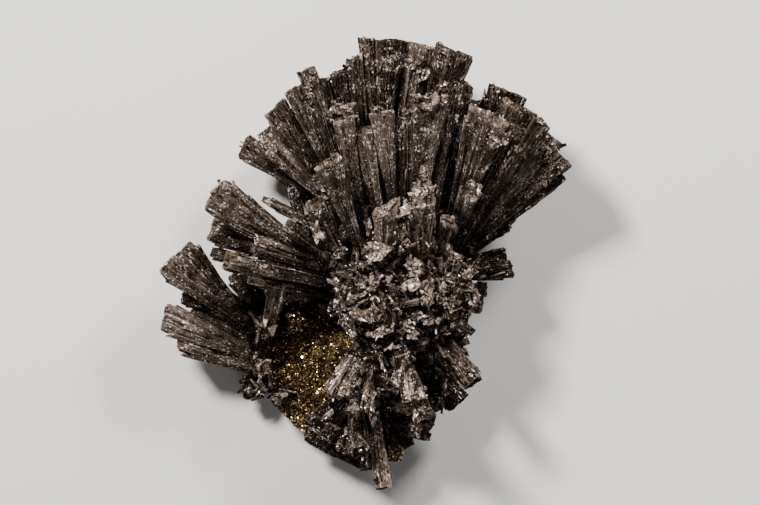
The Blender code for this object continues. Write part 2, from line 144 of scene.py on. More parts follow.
def add_studio():
    """Camera, floor, lights and a faint even surround."""
    camera = make_object("camera", bpy.data.cameras.new("camera"))
    camera.data.sensor_width = SENSOR
    camera.data.lens = SENSOR * CAMERA_RANGE / (PICTURE_WIDTH_PX * MM_PER_PX)
    camera.data.clip_start = 0.01
    camera.location = Vector((*CAMERA_OVER, FOCUS_HEIGHT + CAMERA_RANGE)) * MM
    bpy.context.scene.camera = camera

    bm = bmesh.new()
    bmesh.ops.create_grid(bm, x_segments=1, y_segments=1, size=FLOOR_REACH_M)
    paper, _, shader = new_material("pale_paper")
    shader.inputs["Base Color"].default_value = (*to_linear(PAPER), 1.0)
    shader.inputs["Roughness"].default_value = 0.9
    make_object("floor", mesh_of(bm, "floor"), paper)

    for name, place, width, power in LAMPS:
        lamp = bpy.data.lights.new(name, "AREA")
        lamp.size = width
        lamp.energy = power
        made = make_object(name, lamp)
        made.location = place
        made.rotation_euler = (LAMP_AIM - Vector(place)).to_track_quat("-Z", "Y").to_euler()

    world = bpy.data.worlds.new("studio")
    world.use_nodes = True
    background = world.node_tree.nodes["Background"]
    background.inputs["Color"].default_value = (1.0, 1.0, 1.0, 1.0)
    background.inputs["Strength"].default_value = SURROUND
    bpy.context.scene.world = world


add_studio()

# ---------------------------------------------------------------------------------------------------------
# Massive enargite: the dark root that the crystals grew from, with the floor of the hollow. The back is
# sawn flat through it. Seen only between the crystals, from the sides and from below.
# ---------------------------------------------------------------------------------------------------------
# Each lump is its centre and its half widths.
MASSIVE = [
    ((6, 2, 6), (13.5, 14, 17)),
    ((7, -9, 6), (11, 13, 16)),
    ((2, -24, 3), (8.5, 10, 8)),
    ((-8, 0, 4), (11, 7.5, 13)),
    ((-20, -13, 2), (6.5, 11, 7)),
    ((-12, -5.5, 1), (8, 6, 6)),
    ((13, -18, 3), (7.5, 7, 8)),
    ((15.5, -4, 3), (6.5, 7, 8)),
]
ROOT_VOXEL = 0.6
ROOT_TONE = 0.12
# The palest colour is reached by the painted glints and rim highlights as well as the lightest grains.
ENARGITE_COLOURS = [(0.1, "#130c09"), (0.75, "#8b796b"), (1.0, "#e6d8cf")]
DARKEST_SHADE = -0.89
EDGE_TINT = (0.25, 0.22, 0.2, 1.0)
# Sizes of the enargite's patterns: across a crystal and along it, or a grain's width.
RIDGES = (0.9, 40.0)
FINE_RIDGES = (0.25, 9.0)
LATH_FACES = (1.6, 60.0)
LAMELLAE = (0.36, 26.0)
GROWTH_FACES = (0.2, 0.3)
GRAIN = 0.34
CLUSTER = 3.0
MATH = "ShaderNodeMath"
VECTOR_MATH = "ShaderNodeVectorMath"


def tilted_cells(tree, spot, height):
    """Cells of a Voronoi pattern, each a flat face leaning its own way, and a random value of each."""
    cells = add_node(tree, "ShaderNodeTexVoronoi", links={"Vector": spot, "Scale": 1.0}).outputs
    lean = add_node(tree, VECTOR_MATH, cells["Color"], (0.5, 0.5, 0.5), operation="SUBTRACT")
    inner = add_node(tree, VECTOR_MATH, spot, cells["Position"], operation="SUBTRACT")
    slope = add_node(tree, VECTOR_MATH, lean, inner, operation="DOT_PRODUCT")
    pick = add_node(tree, "ShaderNodeSeparateColor", cells["Color"])
    return add_node(tree, MATH, slope, height, operation="MULTIPLY"), pick


def colour_ramp(tree, value, colours):
    """Colours over a value, each at its place between 0 and 1."""
    ramp = add_node(tree, "ShaderNodeValToRGB", value)
    stops = ramp.color_ramp.elements
    for _ in colours[2:]:
        stops.new(0.5)
    for stop, (place, colour) in zip(stops, colours):
        stop.position = place
        stop.color = (*to_linear(colour), 1.0)
    return ramp.outputs["Color"]


def enargite_material():
    """Enargite: a steel-grey to brown-black sulphide with a metallic lustre. Growth striations run along
    each crystal as flat laths and thin lamellae, each tilted and tarnished its own way, and clusters of
    tiny clean growth faces give a sharp glint, partly painted: their rarest cells are lightened towards the
    palest colour as a painted highlight. Broken ends show coarser, lighter grains."""
    material, tree, shader = new_material("enargite_striated")
    uv = add_node(tree, "ShaderNodeUVMap", uv_map="striae")
    place = add_node(tree, "ShaderNodeTexCoord").outputs["Object"]
    tone, end = [
        add_node(tree, "ShaderNodeAttribute", attribute_name=name).outputs["Fac"]
        for name in ("tone", "end")
    ]
    striae = {
        sizes: add_node(tree, "ShaderNodeMapping", uv, links={"Scale": (1 / sizes[0], 1 / sizes[1], 1.0)})
        for sizes in (RIDGES, FINE_RIDGES, LATH_FACES, LAMELLAE, GROWTH_FACES)
    }
    solid = {
        size: add_node(tree, "ShaderNodeMapping", place, links={"Scale": (1 / (size * MM),) * 3})
        for size in (GRAIN, CLUSTER)
    }
    coarse, fine = [
        add_node(
            tree, "ShaderNodeTexNoise",
            links={"Vector": striae[sizes], "Scale": 1.0, "Detail": 3.0, "Roughness": 0.6},
        )
        for sizes in (RIDGES, FINE_RIDGES)
    ]
    laths, lath_pick = tilted_cells(tree, striae[LATH_FACES].outputs[0], 0.5)
    lamellae, lamella_pick = tilted_cells(tree, striae[LAMELLAE].outputs[0], 0.1)
    faces, face_pick = tilted_cells(tree, striae[GROWTH_FACES].outputs[0], 0.15)
    grains, grain_pick = tilted_cells(tree, solid[GRAIN].outputs[0], 0.42)
    cluster = add_node(
        tree, "ShaderNodeTexNoise", links={"Vector": solid[CLUSTER], "Scale": 1.0, "Detail": 4.0}
    )
    crusted = add_node(
        tree, "ShaderNodeMapRange", cluster, links={"From Min": 0.47, "From Max": 0.62, "To Min": 0.3}
    )

    height = add_node(tree, MATH, laths, lamellae, operation="ADD")
    height = add_node(tree, MATH, coarse, 0.25, height, operation="MULTIPLY_ADD")
    height = add_node(tree, MATH, faces, crusted, height, operation="MULTIPLY_ADD")
    height = add_node(tree, "ShaderNodeMix", links={0: end, 2: height, 3: grains})
    bump = add_node(tree, "ShaderNodeBump", links={"Height": height, "Strength": 1.0, "Distance": MM})
    tree.links.new(bump.outputs["Normal"], shader.inputs["Normal"])

    pick = add_node(tree, "ShaderNodeMix", links={0: end, 2: face_pick, 3: grain_pick})
    # Painted glint: the rarest cells within the clusters are lightened towards the palest colour, a painted
    # highlight on top of their lower roughness.
    glint = add_node(tree, MATH, pick, 8.0, operation="POWER")
    glint = add_node(tree, MATH, glint, crusted, operation="MULTIPLY")
    shade = DARKEST_SHADE
    for part, weight in (
        (coarse, 0.35), (fine, 0.45), (cluster, 0.5), (tone, 0.5), (lath_pick, 0.2), (lamella_pick, 0.2),
        (pick, 0.4), (end, 0.14), (glint, 1.1),
    ):
        shade = add_node(tree, MATH, part, weight, shade, operation="MULTIPLY_ADD")
    tree.links.new(colour_ramp(tree, shade, ENARGITE_COLOURS), shader.inputs["Base Color"])
    rough = add_node(
        tree, "ShaderNodeMapRange", pick, links={"From Min": 0.4, "To Min": 0.58, "To Max": 0.18}
    )
    tree.links.new(rough.outputs["Result"], shader.inputs["Roughness"])
    # Lighter colours are made less metallic, so the painted glints and highlights show bright from every
    # side.
    metal = add_node(
        tree, "ShaderNodeMapRange", shade,
        links={"From Min": 0.5, "From Max": 1.1, "To Min": 0.75, "To Max": 0.4},
    )
    tree.links.new(metal.outputs["Result"], shader.inputs["Metallic"])
    shader.inputs["Specular Tint"].default_value = EDGE_TINT
    return material


enargite = enargite_material()


def tie(piece, node):
    """Fixes a finished piece to the specimen, over the node that it dresses."""
    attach(piece, "root")
    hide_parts(node)


def add_root():
    """Eight fused lumps, roughened, with a flat sawn base."""
    bm = bmesh.new()
    for centre, radii in MASSIVE:
        made = bmesh.ops.create_icosphere(bm, subdivisions=5, radius=1.0)
        for vert in made["verts"]:
            direction = vert.co.copy()
            place = Vector([c + r * v for c, r, v in zip(centre, radii, direction)])
            swell = 1.0 + 0.10 * noise.noise(place * 0.25) - 0.05
            chip = 0.9 * noise.cell(place * 0.55) - 0.6
            spot = Vector([c + r * v * swell for c, r, v in zip(centre, radii, direction)])
            vert.co = (spot + direction * chip) * MM
    root = make_object("massive_root", mesh_of(bm, "massive_root"))
    remesh = root.modifiers.new("fuse", "REMESH")
    remesh.mode = "VOXEL"
    remesh.voxel_size = ROOT_VOXEL * MM
    fused = bpy.data.meshes.new_from_object(root.evaluated_get(bpy.context.evaluated_depsgraph_get()))
    root.modifiers.clear()
    bm = bmesh.new()
    bm.from_mesh(fused)
    geometry = bm.verts[:] + bm.edges[:] + bm.faces[:]
    cut = bmesh.ops.bisect_plane(
        bm, geom=geometry, plane_co=(0, 0, 0), plane_no=(0, 0, -1), clear_outer=True
    )
    rim = [item for item in cut["geom_cut"] if isinstance(item, bmesh.types.BMEdge)]
    bmesh.ops.holes_fill(bm, edges=rim)
    bmesh.ops.triangulate(bm, faces=[face for face in bm.faces if len(face.verts) > 4])
    bmesh.ops.recalc_face_normals(bm, faces=bm.faces)
    layer = bm.loops.layers.uv.new("striae")
    for face in bm.faces:
        for loop in face.loops:
            loop[layer].uv = (loop.vert.co.x / MM, loop.vert.co.y / MM)
    bm.to_mesh(fused)
    bm.free()
    root.data = fused
    fused.materials.clear()
    fused.materials.append(enargite)
    tone = fused.attributes.new("tone", "FLOAT", "POINT")
    tone.data.foreach_set("value", [ROOT_TONE] * len(fused.vertices))
    tie(root, "enargite_crystals")


add_root()

# ---------------------------------------------------------------------------------------------------------
# Crystal bundles: each is a sheaf of slender striated enargite prisms that flared as it grew, ending flat
# or broken. The sheaves radiate from the root in fans, with single laths lying on their faces.
# ---------------------------------------------------------------------------------------------------------
SHEAVES = 10
SHEAF_FACES = 56
LATHS = 6
STUBS = 8
# Where a crystal of a sheaf may step in, as shares of its length: at 1 it runs on to the end.
LEDGES = (0.52, 0.66, 0.78, 0.88, 0.94, 1.0, 1.0, 1.0, 1.0)
LEDGE_RISE = 0.004
GROOVE = 0.035
SQUARENESS = 4.5
FLARE_POWER = 1.7
# Each group of bundles has its flare, its widening, the bluntness of its ends, and the range of its tones.
FORMS = {
    "rear_fan": (0.45, 1.16, 0.05, (-0.05, 0.4)),
    "middle_fan": (0.6, 1.22, 0.03, (0.0, 0.6)),
    "front_fan": (0.6, 1.1, 0.03, (0.45, 0.8)),
    "right_fan": (0.55, 1.12, 0.06, (-0.1, 0.4)),
    "lower_sprays": (0.8, 1.0, 0.08, (-0.35, 0.3)),
    "left_sprays": (0.6, 1.12, 0.25, (0.0, 0.4)),
    "under_fan": (0.9, 1.05, 0.1, (-0.3, 0.0)),
}
# One row is one bundle: foot (x, y, z), tip (x, y, z), width at foot and tip, thickness, crystals across,
# slant of the tip in degrees and, for some, its tone.
FANS = {
    "rear_fan": [
        ((2.6, 13, 12), (3, 45.6, 18), 6, 9.8, 7.5, 3, -4),
        ((5.8, 15, 12), (11.2, 44.5, 16.5), 4.4, 7.2, 5, 2, -4),
        ((8.6, 14, 12), (17.9, 43.1, 20), 5, 7.6, 7, 3, -7),
        ((14, 13, 10), (20.4, 35.8, 13.5), 2.6, 2.6, 4, 1, 8),
        ((-0.6, 15, 13), (-2.4, 41.6, 18.5), 2.6, 3, 4.5, 2, 12),
        ((-1.6, 15, 13), (-5.2, 38.8, 18), 2.6, 3.6, 4.5, 2, 14),
        ((-2.6, 14, 13), (-8.6, 37.4, 18), 2.6, 3.2, 4.5, 1, -8),
        ((-3.4, 14, 15), (-11.8, 39.3, 21.5), 3, 4, 5, 1, 4),
        ((-4.4, 13, 13), (-14.4, 35.6, 18), 3, 4.4, 5, 2, 2),
        ((-5, 12, 12), (-18.3, 31.7, 17), 3.4, 5.2, 5.5, 2, 8),
        ((-5.4, 11.6, 11), (-20, 27.3, 15), 3.4, 4.4, 4.6, 1, 0),
        ((-5.6, 11, 13), (-20.6, 25.6, 17.5), 3.6, 4.4, 4.6, 2, -6, 0.5),
        ((-6.2, 12.6, 9), (-24.7, 24, 11.5), 3.6, 5.2, 4.6, 2, 6, 0.3),
    ],
    "middle_fan": [
        ((0.2, 6, 19.5), (-4.2, 28.8, 26), 3.2, 4.2, 4, 1, 0, 0.3),
        ((3, 9, 20.5), (-0.5, 26.6, 25), 2.6, 5.2, 4, 1, 0, 0.5),
        ((5.8, 11, 21), (3.3, 30.4, 27.5), 2.6, 4.8, 4.6, 1, 0, 0.5),
        ((7, 9, 19.5), (7.2, 29.4, 25), 2.6, 4, 4, 1, -6, 0.25),
        ((9.6, 6, 20), (12.6, 33.4, 28.5), 4.4, 8, 7, 2, -6, 0.32),
        ((13, 6, 20), (17.6, 35.4, 27), 3, 4.6, 5, 1, 16, 0),
        ((-0.6, 1.6, 22), (-7.4, 20.4, 30), 2.4, 5.4, 5.5, 2, 14, 0.3),
        ((-3, -1, 21), (-10, 12.4, 27.5), 3, 4.4, 5, 2, 6, 0.2),
        ((0, 12, 17), (-4.6, 31.6, 23), 3, 5.4, 4, 2, 0, 0.3),
        ((5, 6, 17), (3, 28, 21), 6, 12, 5, 2, 0, 0.1),
    ],
    "front_fan": [
        ((3.4, 0, 27), (4.2, 11.2, 35), 3.6, 5, 4.5, 2, 36),
        ((11, -1, 27), (10.6, 12.8, 38.3), 4.4, 6.4, 5.5, 2, 24),
        ((11.4, 8, 33), (11.6, 19.6, 36.4), 7.6, 1.1, 1.4, 1, 0, 0.6),
        ((15, 2, 25), (16.4, 9.4, 30), 2.6, 3, 3, 1, 0),
        ((19, 8, 22), (21.8, 15.6, 28.5), 2.6, 3, 3, 1, 12),
    ],
    "right_fan": [
        ((18, 6, 13), (28.5, 35.2, 18), 5, 8.8, 6.5, 3, -4),
        ((19, 6, 17), (31, 31.6, 23), 5, 8, 5.5, 3, -4),
        ((16, 4, 20), (24.6, 29.6, 29.5), 5, 9.8, 7, 3, -8),
        ((18, 3, 19), (30.6, 27.4, 27), 3.4, 4.8, 5, 2, -4),
        ((24, 22, 27), (28.8, 26.8, 32), 2, 1.8, 2.4, 1, 0),
        ((20, 5, 14), (35.6, 28.6, 20.5), 3.4, 3.6, 4.5, 1, 4),
        ((20, 4, 13), (38, 25.6, 19), 3.4, 4.6, 5, 2, 4),
        ((20, 3, 13), (39.9, 21.5, 19), 3.6, 5, 5, 2, 4, 0.05),
        # These three bundles on the lower flank of the fan get a low tone as painted shade, for the side
        # turned from the light.
        ((20, 2.8, 12), (39.6, 18.3, 17.5), 3, 3.2, 4.5, 1, 0, -0.2),
        ((18, 2, 11), (34, 16, 14.5), 4, 4, 4.5, 2, -10, -0.2),
        ((16, 2.2, 9), (28.6, 8.4, 12.5), 4, 3.8, 4, 2, -6, -0.2),
        ((14, -1, 11), (28.3, 2.1, 14.5), 3.8, 3.6, 3.5, 1, -4, -0.5),
        ((14, -2.4, 13), (29.4, -0.9, 16.5), 4, 3.9, 4, 2, 4, -0.3),
        ((12, -3.6, 9), (24.5, -5, 12.5), 4, 3.2, 3.5, 1, 0, 0.2),
        ((12, -6, 9), (23.6, -8.1, 13), 4, 3.5, 3.5, 1, 0, 0.2),
    ],
    "lower_sprays": [
        ((10, -9, 12), (19.6, -12.2, 16), 4, 3.4, 3.5, 1, 0),
        ((10, -11, 12), (17.8, -15.1, 16), 4, 3.4, 3.5, 1, 0),
        ((13, -12, 18), (21.5, -23.7, 24), 3.4, 4.6, 4.5, 2, 0),
        ((14, -13, 14), (22, -22.8, 18), 3.4, 4.2, 3, 1, 0),
        ((9, -17, 7), (19, -27.9, 10.5), 5, 6, 4.6, 2, 0, -0.5),
        ((8, -19, 7), (15, -29.2, 9.5), 4, 4.4, 4, 1, 0, -0.4),
        ((6.4, -15, 24), (9.8, -26.6, 32.5), 3.6, 5.4, 4.5, 2, 0),
        ((7, -20, 13), (12.4, -31.6, 20), 4, 5, 4.5, 2, 0),
        ((3, -29.6, 8), (12.2, -33.4, 15), 4, 4.6, 4, 2, 0),
        ((1.2, -26, 10), (3.8, -45, 15), 3.4, 4, 4, 1, 0, 0.2),
        ((-2.4, -25, 9), (-0.8, -37.4, 20), 3.6, 5, 4.5, 2, 0),
        ((-1.2, -15, 22), (-7.4, -25.6, 29), 2.2, 2.6, 2.4, 1, 0, 0.6),
        ((-0.4, -16, 22), (-4.2, -25.8, 28.5), 2.4, 2.8, 2.4, 1, 0, 0.4),
        ((2, -17, 21), (0, -28.6, 25.5), 2.4, 2.4, 2.6, 1, 0),
        ((4.4, -17, 19), (4.6, -25.4, 22.5), 4.4, 5, 3.6, 2, 0),
        ((-5, -17.4, 22), (3.6, -18.4, 24), 1.8, 1.8, 2, 1, 0),
        ((0, -25, 6), (-7, -38.3, 8), 8, 15.6, 5, 4, 0, -0.4),
        ((0, -32, 7), (0.3, -41.4, 9.5), 3, 3.6, 3, 1, 0),
        ((-1, -24, 9), (-11, -31.6, 15), 3.6, 3.4, 3, 2, 0),
        ((-1, -25, 9), (-8, -34.4, 14.5), 3.6, 3.4, 3, 2, 0),
        ((-1, -26, 9), (-4.6, -37.6, 13.5), 3.6, 3.4, 3, 2, 0),
        ((2, -26, 8), (8.2, -37.2, 10), 4, 5.2, 3.4, 2, 0),
    ],
    "left_sprays": [
        ((-8, -0.6, 16), (-30.2, 14.2, 22.5), 4.6, 9.1, 6, 3, -4, 0.25),
        ((-12, 0, 11), (-31, 7.4, 14.5), 4.4, 6.4, 4, 2, 0),
        ((-18, -1, 11), (-31.2, 2.6, 13), 3, 2.4, 2.4, 1, 0),
        ((-14, -3, 14), (-27.8, 0.9, 19.5), 4, 5, 4.6, 2, 0),
        ((-8, -0.6, 20), (-21.6, 3.9, 25.5), 3.6, 5, 4.4, 2, 0),
        ((-6, -4, 20), (-21.4, -0.6, 25.5), 3, 2.6, 3, 1, 0),
        ((-6, -6, 18), (-23.4, -3, 23), 3, 2.2, 2.4, 1, 0),
        ((-6.6, 6.2, 14), (-20.6, 13.4, 16.5), 3.6, 1.5, 1.6, 1, 0),
        ((-12.8, 8, 14), (-14.7, 15.6, 16.5), 3, 2.2, 1.6, 1, 0),
        ((-9, 3, 20), (-16, 8.2, 23), 3, 3.4, 2.4, 1, 0),
        ((-21, -18.8, 9.5), (-17.2, -4.4, 20), 3, 4.2, 3.4, 1, 0, 0.5),
        ((-19, -20, 3), (-20.8, -21, 13.5), 4.6, 4.2, 3.6, 2, 0),
        ((-23.4, -12.4, 10), (-38.2, 1.6, 15.5), 5.6, 10.8, 6, 3, 4, 0.2),
        ((-24, -11.4, 11), (-40, 0.4, 16), 3.4, 5.6, 4.6, 1, 0, 0.25),
        ((-19.6, -19.8, 8), (-40.6, -10.4, 13), 5, 6.8, 5.4, 3, 10, 0.45),
        ((-19, -21.8, 7), (-38, -15, 11.5), 5, 5.6, 4.6, 2, 20, 0.3),
        ((-19, -17, 6), (-35.4, -9.8, 9.5), 4.6, 4.4, 3.6, 2, 0),
        ((-26, -9.6, 8), (-36.8, -6.6, 12), 3, 3.2, 3, 1, 0),
        ((-23, -9, 9), (-28.8, -6, 16.5), 3.4, 2.6, 2.6, 1, 0),
        ((-18, -23.8, 4), (-24.8, -25.4, 7), 5.4, 5.6, 3.2, 1, 0, -0.4),
        ((-21, -8.6, 8), (-25.8, -1.6, 12), 6.6, 5.6, 3.6, 2, 0),
        ((-12.2, -25, 8), (-18.6, -27.9, 9.8), 1.4, 1.8, 1.8, 1, 0, -0.1),
        ((-17, -24, 8.4), (-17.6, -28.6, 9.6), 1.4, 1.8, 1.8, 1, 0, 0),
        ((-13.4, -27.2, 8), (-16.6, -24.9, 9.8), 1, 1.4, 1.4, 1, 0, -0.1),
    ],
    "under_fan": [
        ((0, 8, 6), (-1, 30, 9.5), 8, 8, 5, 2, 0),
        ((8, 8, 6), (11, 31, 9.5), 8, 8, 5, 2, 0),
        ((-5, 6, 6), (-14, 21, 8.5), 7, 6, 4.5, 1, 0),
        ((13, 5, 6), (21.4, 25, 9), 7, 8, 4.5, 2, 0),
        ((14, 2, 5), (28, 13, 8.5), 6, 6, 4, 1, 0),
        ((-8, 2, 5.5), (-21, 6, 8.5), 6, 5, 4, 1, 0),
        ((2, -27, 7), (6.2, -39.2, 9.2), 4, 3.4, 3, 1, 0),
        ((3, 12, 8), (5.6, 42, 13), 8, 9, 4, 2, 0),
        ((9, 12, 8), (14.4, 41, 12.5), 8, 9, 4, 2, 0),
        ((-1, 12, 9), (-3.8, 37.4, 12.5), 6, 7, 4, 2, 0),
        ((-5, 10, 8), (-9.2, 36.4, 12), 6, 8.6, 4, 2, 0),
        ((-5, 9, 7), (-16.8, 30.6, 11.5), 6, 8, 4, 2, 0),
        ((-5, 9, 7), (-20.4, 23.6, 10.5), 6, 6, 4, 2, 0),
        ((16, 8, 9), (22.4, 33.4, 13), 6, 8, 4, 2, 0),
        ((18, 5, 9), (29.6, 29.6, 13.5), 6, 8, 4, 2, 0),
        ((18, 3, 8), (34.4, 22, 12.5), 6, 8, 4, 2, 0),
        ((16, 1, 8), (29, 11, 11), 6, 6, 4, 1, 0),
    ],
}


def squared(turn):
    """Radius of a square with rounded corners, one unit from its middle to a side, towards a turn."""
    return (abs(math.cos(turn)) ** SQUARENESS + abs(math.sin(turn)) ** SQUARENESS) ** (-1 / SQUARENESS)


def unit_shape():
    """An empty crystal for a unit box, with its map and how much each vertex is of the end and of a rim.
    The
    rim value is painted light and shade: lighter along end edges and corners, darker inside the end.
    """
    bm = bmesh.new()
    bm.loops.layers.uv.new("unit")
    bm.verts.layers.float.new("end")
    bm.verts.layers.float.new("rim")
    return bm


def add_vert(bm, spot, end=0.0, rim=0.0):
    """A vertex of a unit shape."""
    vert = bm.verts.new(spot)
    vert[bm.verts.layers.float["end"]] = end
    vert[bm.verts.layers.float["rim"]] = rim
    return vert


def add_walls(bm, rings, levels):
    """The sides between rings of vertices, mapped round the crystal and up it."""
    layer = bm.loops.layers.uv["unit"]
    count = len(rings[0])
    for low, high, a, b in zip(rings, rings[1:], levels, levels[1:]):
        for k in range(count):
            after = (k + 1) % count
            face = bm.faces.new((low[k], low[after], high[after], high[k]))
            turns = (k / count, (k + 1) / count)
            for loop, u, v in zip(face.loops, (turns[0], turns[1], turns[1], turns[0]), (a, a, b, b)):
                loop[layer].uv = (u, v)


def both_ends(bm, rings):
    """A face over the last ring of vertices and one under the first."""
    return bm.faces.new(rings[-1]), bm.faces.new(list(reversed(rings[0])))


def coordinates(mesh):
    """The places of a mesh's vertices, one to a row."""
    flat = np.zeros(len(mesh.vertices) * 3, dtype=np.float32)
    mesh.vertices.foreach_get("co", flat)
    return flat.reshape(-1, 3)


def close_shape(bm, name, ends, stretch=0.4):
    """Maps the end faces, and stores each vertex's place in the unit box for the node tree to reshape."""
    layer = bm.loops.layers.uv["unit"]
    for face in ends:
        for loop in face.loops:
            loop[layer].uv = (loop.vert.co.x * stretch, loop.vert.co.y * 0.05)
    mesh = mesh_of(bm, name)
    local = mesh.attributes.new("local", "FLOAT_VECTOR", "POINT")
    local.data.foreach_set("vector", coordinates(mesh).ravel())
    return mesh


def sheaf_outline(rng):
    """Radii round a many-sided prism with eight uneven corners, and which of its vertices are corners."""
    corners = []
    for k in range(8):
        spread = 14.0 if k % 2 else 20.0
        turn = math.radians(45.0 * k + rng.uniform(-spread, spread))
        corners.append((turn % math.tau, 0.5 * squared(turn) * rng.uniform(0.93, 1.03)))
    laps = [(turn + lap, radius) for lap in (-math.tau, 0.0, math.tau) for turn, radius in sorted(corners)]
    reach = []
    for k in range(SHEAF_FACES):
        turn = math.tau * k / SHEAF_FACES
        before = max(corner for corner in laps if corner[0] <= turn)
        after = min(corner for corner in laps if corner[0] > turn)
        a, b = [Vector((math.cos(t), math.sin(t))) * radius for t, radius in (before, after)]
        edge = b - a
        ray = Vector((math.cos(turn), math.sin(turn)))
        reach.append((a.x * edge.y - a.y * edge.x) / (ray.x * edge.y - ray.y * edge.x))
    return reach, {round(turn / math.tau * SHEAF_FACES) % SHEAF_FACES for turn, _ in corners}


def sheaf_mesh(seed):
    """A sheaf of grown-together crystals filling a unit box: a many-faced prism, grooved where crystals
    meet, some of them ending early in a ledge, with a rough flat end."""
    rng = random.Random(seed)
    reach, ridges = sheaf_outline(rng)
    # Each crystal is how far it stands out, its ledge, the drop of its end, how much thinner it is past
    # the ledge, and how far the ledges' levels are moved on it.
    members = []
    while len(members) < SHEAF_FACES:
        member = (
            rng.uniform(-0.04, 0.015), rng.choice(LEDGES), rng.uniform(0.0, 0.022), rng.uniform(0.08, 0.16),
            rng.uniform(-0.05, 0.01),
        )
        members.extend([member] * rng.choice((2, 3, 4, 5, 7)))
    members = members[:SHEAF_FACES]
    levels = [0.0, 0.3]
    for ledge in sorted(set(LEDGES) - {1.0}):
        levels.extend((ledge, ledge + LEDGE_RISE))
    levels.extend((0.985, 1.0))
    bm = unit_shape()
    rings = []
    for level in levels:
        ring = []
        for k in range(SHEAF_FACES):
            lift, ledge, drop, shrink, early = members[k]
            size = reach[k] * (1.0 + lift - (GROOVE if members[k - 1] is not members[k] else 0.0))
            if level > ledge:
                size *= 1.0 - shrink
            turn = math.tau * k / SHEAF_FACES
            z = level - drop if level > 0.98 else level + early if level > 0.4 else level
            spot = (size * math.cos(turn), size * math.sin(turn), z)
            at_end = level == 1.0
            # Rim value: painted highlight along the end ring and the corner ridges.
            ring.append(add_vert(bm, spot, 0.3 * at_end, 0.5 * (at_end or k in ridges)))
        rings.append(ring)
    add_walls(bm, rings, levels)
    last = rings[-1]
    ends = [bm.faces.new(list(reversed(rings[0])))]
    for share in (0.72, 0.36):
        ring = []
        for k, outer in enumerate(rings[-1]):
            step = members[k][4] * share - rng.uniform(-0.006, 0.012)
            spot = (outer.co.x * share, outer.co.y * share, outer.co.z + step)
            # Negative rim value: painted shade inside the end face.
            ring.append(add_vert(bm, spot, 0.3, -0.3 * share))
        for k in range(SHEAF_FACES):
            after = (k + 1) % SHEAF_FACES
            ends.append(bm.faces.new((last[k], last[after], ring[after], ring[k])))
        last = ring
    ends.append(bm.faces.new(last))
    return close_shape(bm, f"sheaf_{seed}", ends)


def lath_mesh(seed):
    """A single flat crystal filling a unit box: a grooved bar with a slanted or broken end."""
    rng = random.Random(300 + seed)
    outline = [
        (-0.5, -0.2), (-0.3, -0.5), (0.3, -0.5), (0.5, -0.15), (0.45, 0.3), (0.12, 0.5), (0.0, 0.36),
        (-0.2, 0.5), (-0.5, 0.2),
    ]
    outline = [(x * rng.uniform(0.85, 1.0), y * rng.uniform(0.85, 1.0)) for x, y in outline]
    slope = rng.uniform(-0.06, 0.06)
    bm = unit_shape()
    levels = (0.0, 0.5, 1.0)
    rings = []
    for level in levels:
        ring = []
        for x, y in outline:
            z = level + (slope * x * 2 + rng.uniform(-0.012, 0.012) if level == 1.0 else 0.0)
            ring.append(add_vert(bm, (x, y, z)))
        rings.append(ring)
    add_walls(bm, rings, levels)
    return close_shape(bm, f"lath_{seed}", both_ends(bm, rings), 0.3)


def stub_mesh(seed):
    """A stout short crystal filling a unit box, with one ledge and a plane slanted end."""
    rng = random.Random(600 + seed)
    count = rng.choice((3, 4, 4, 5, 6))
    corners = [(k + rng.uniform(-0.3, 0.3)) / count * math.tau for k in range(count)]
    corners = [(turn, rng.uniform(0.4, 0.62)) for turn in corners]
    cut = rng.randrange(count)
    lean = (rng.uniform(-0.3, 0.3), rng.uniform(-0.3, 0.3))
    bm = unit_shape()
    levels = (0.0, 0.8, 0.82, 1.0)
    rings = []
    for level in levels:
        ring = []
        for k, (turn, radius) in enumerate(corners):
            if level > 0.81 and (k - cut) % count < 2:
                radius *= 0.75
            x = radius * math.cos(turn)
            y = radius * math.sin(turn)
            if level == 1.0:
                # The end ring carries a rim value, so the whole end face is lightened as a painted
                # highlight.
                ring.append(add_vert(bm, (x, y, level + lean[0] * x + lean[1] * y), 0.3, 0.7))
            else:
                ring.append(add_vert(bm, (x, y, level)))
        rings.append(ring)
    add_walls(bm, rings, levels)
    return close_shape(bm, f"stub_{seed}", both_ends(bm, rings))


def shape_kit(name, meshes):
    """A collection of loose shapes for a node tree to pick from, kept out of the scene."""
    kit = bpy.data.collections.new(name)
    for number, mesh in enumerate(meshes):
        kit.objects.link(bpy.data.objects.new(f"{name}_{number:02d}", mesh))
    return kit


def drop_kit(kit):
    """Deletes a kit whose shapes have been used."""
    for shape in list(kit.objects):
        bpy.data.objects.remove(shape)
    bpy.data.collections.remove(kit)


def picked(tree, kit, points, index, **placed):
    """Instances from a kit on points, by index."""
    shapes = add_node(
        tree, "GeometryNodeCollectionInfo",
        links={"Collection": kit, "Separate Children": True, "Reset Children": True},
    )
    links = {"Points": points, "Instance": shapes, "Pick Instance": True, "Instance Index": index}
    return add_node(tree, "GeometryNodeInstanceOnPoints", links=links | placed)


def new_tree(name, inputs, attributes):
    """An empty node tree with its named inputs, the sockets of those, and the attributes that it reads."""
    tree = bpy.data.node_groups.new(name, "GeometryNodeTree")
    for label, kind in ({"Geometry": "Geometry"} | inputs).items():
        tree.interface.new_socket(label, in_out="INPUT", socket_type=f"NodeSocket{kind}")
    tree.interface.new_socket("Geometry", in_out="OUTPUT", socket_type="NodeSocketGeometry")
    read = {
        key: add_node(tree, "GeometryNodeInputNamedAttribute", key, data_type=kind)
        for kind, keys in attributes.items()
        for key in keys
    }
    return tree, add_node(tree, "NodeGroupInput").outputs, read


def close_tree(tree, geometry, material):
    """Realizes what the tree made and gives it its material."""
    whole = add_node(tree, "GeometryNodeRealizeInstances", geometry)
    finished = add_node(tree, "GeometryNodeSetMaterial", links={"Geometry": whole, "Material": material})
    add_node(tree, "NodeGroupOutput", finished)
    return tree


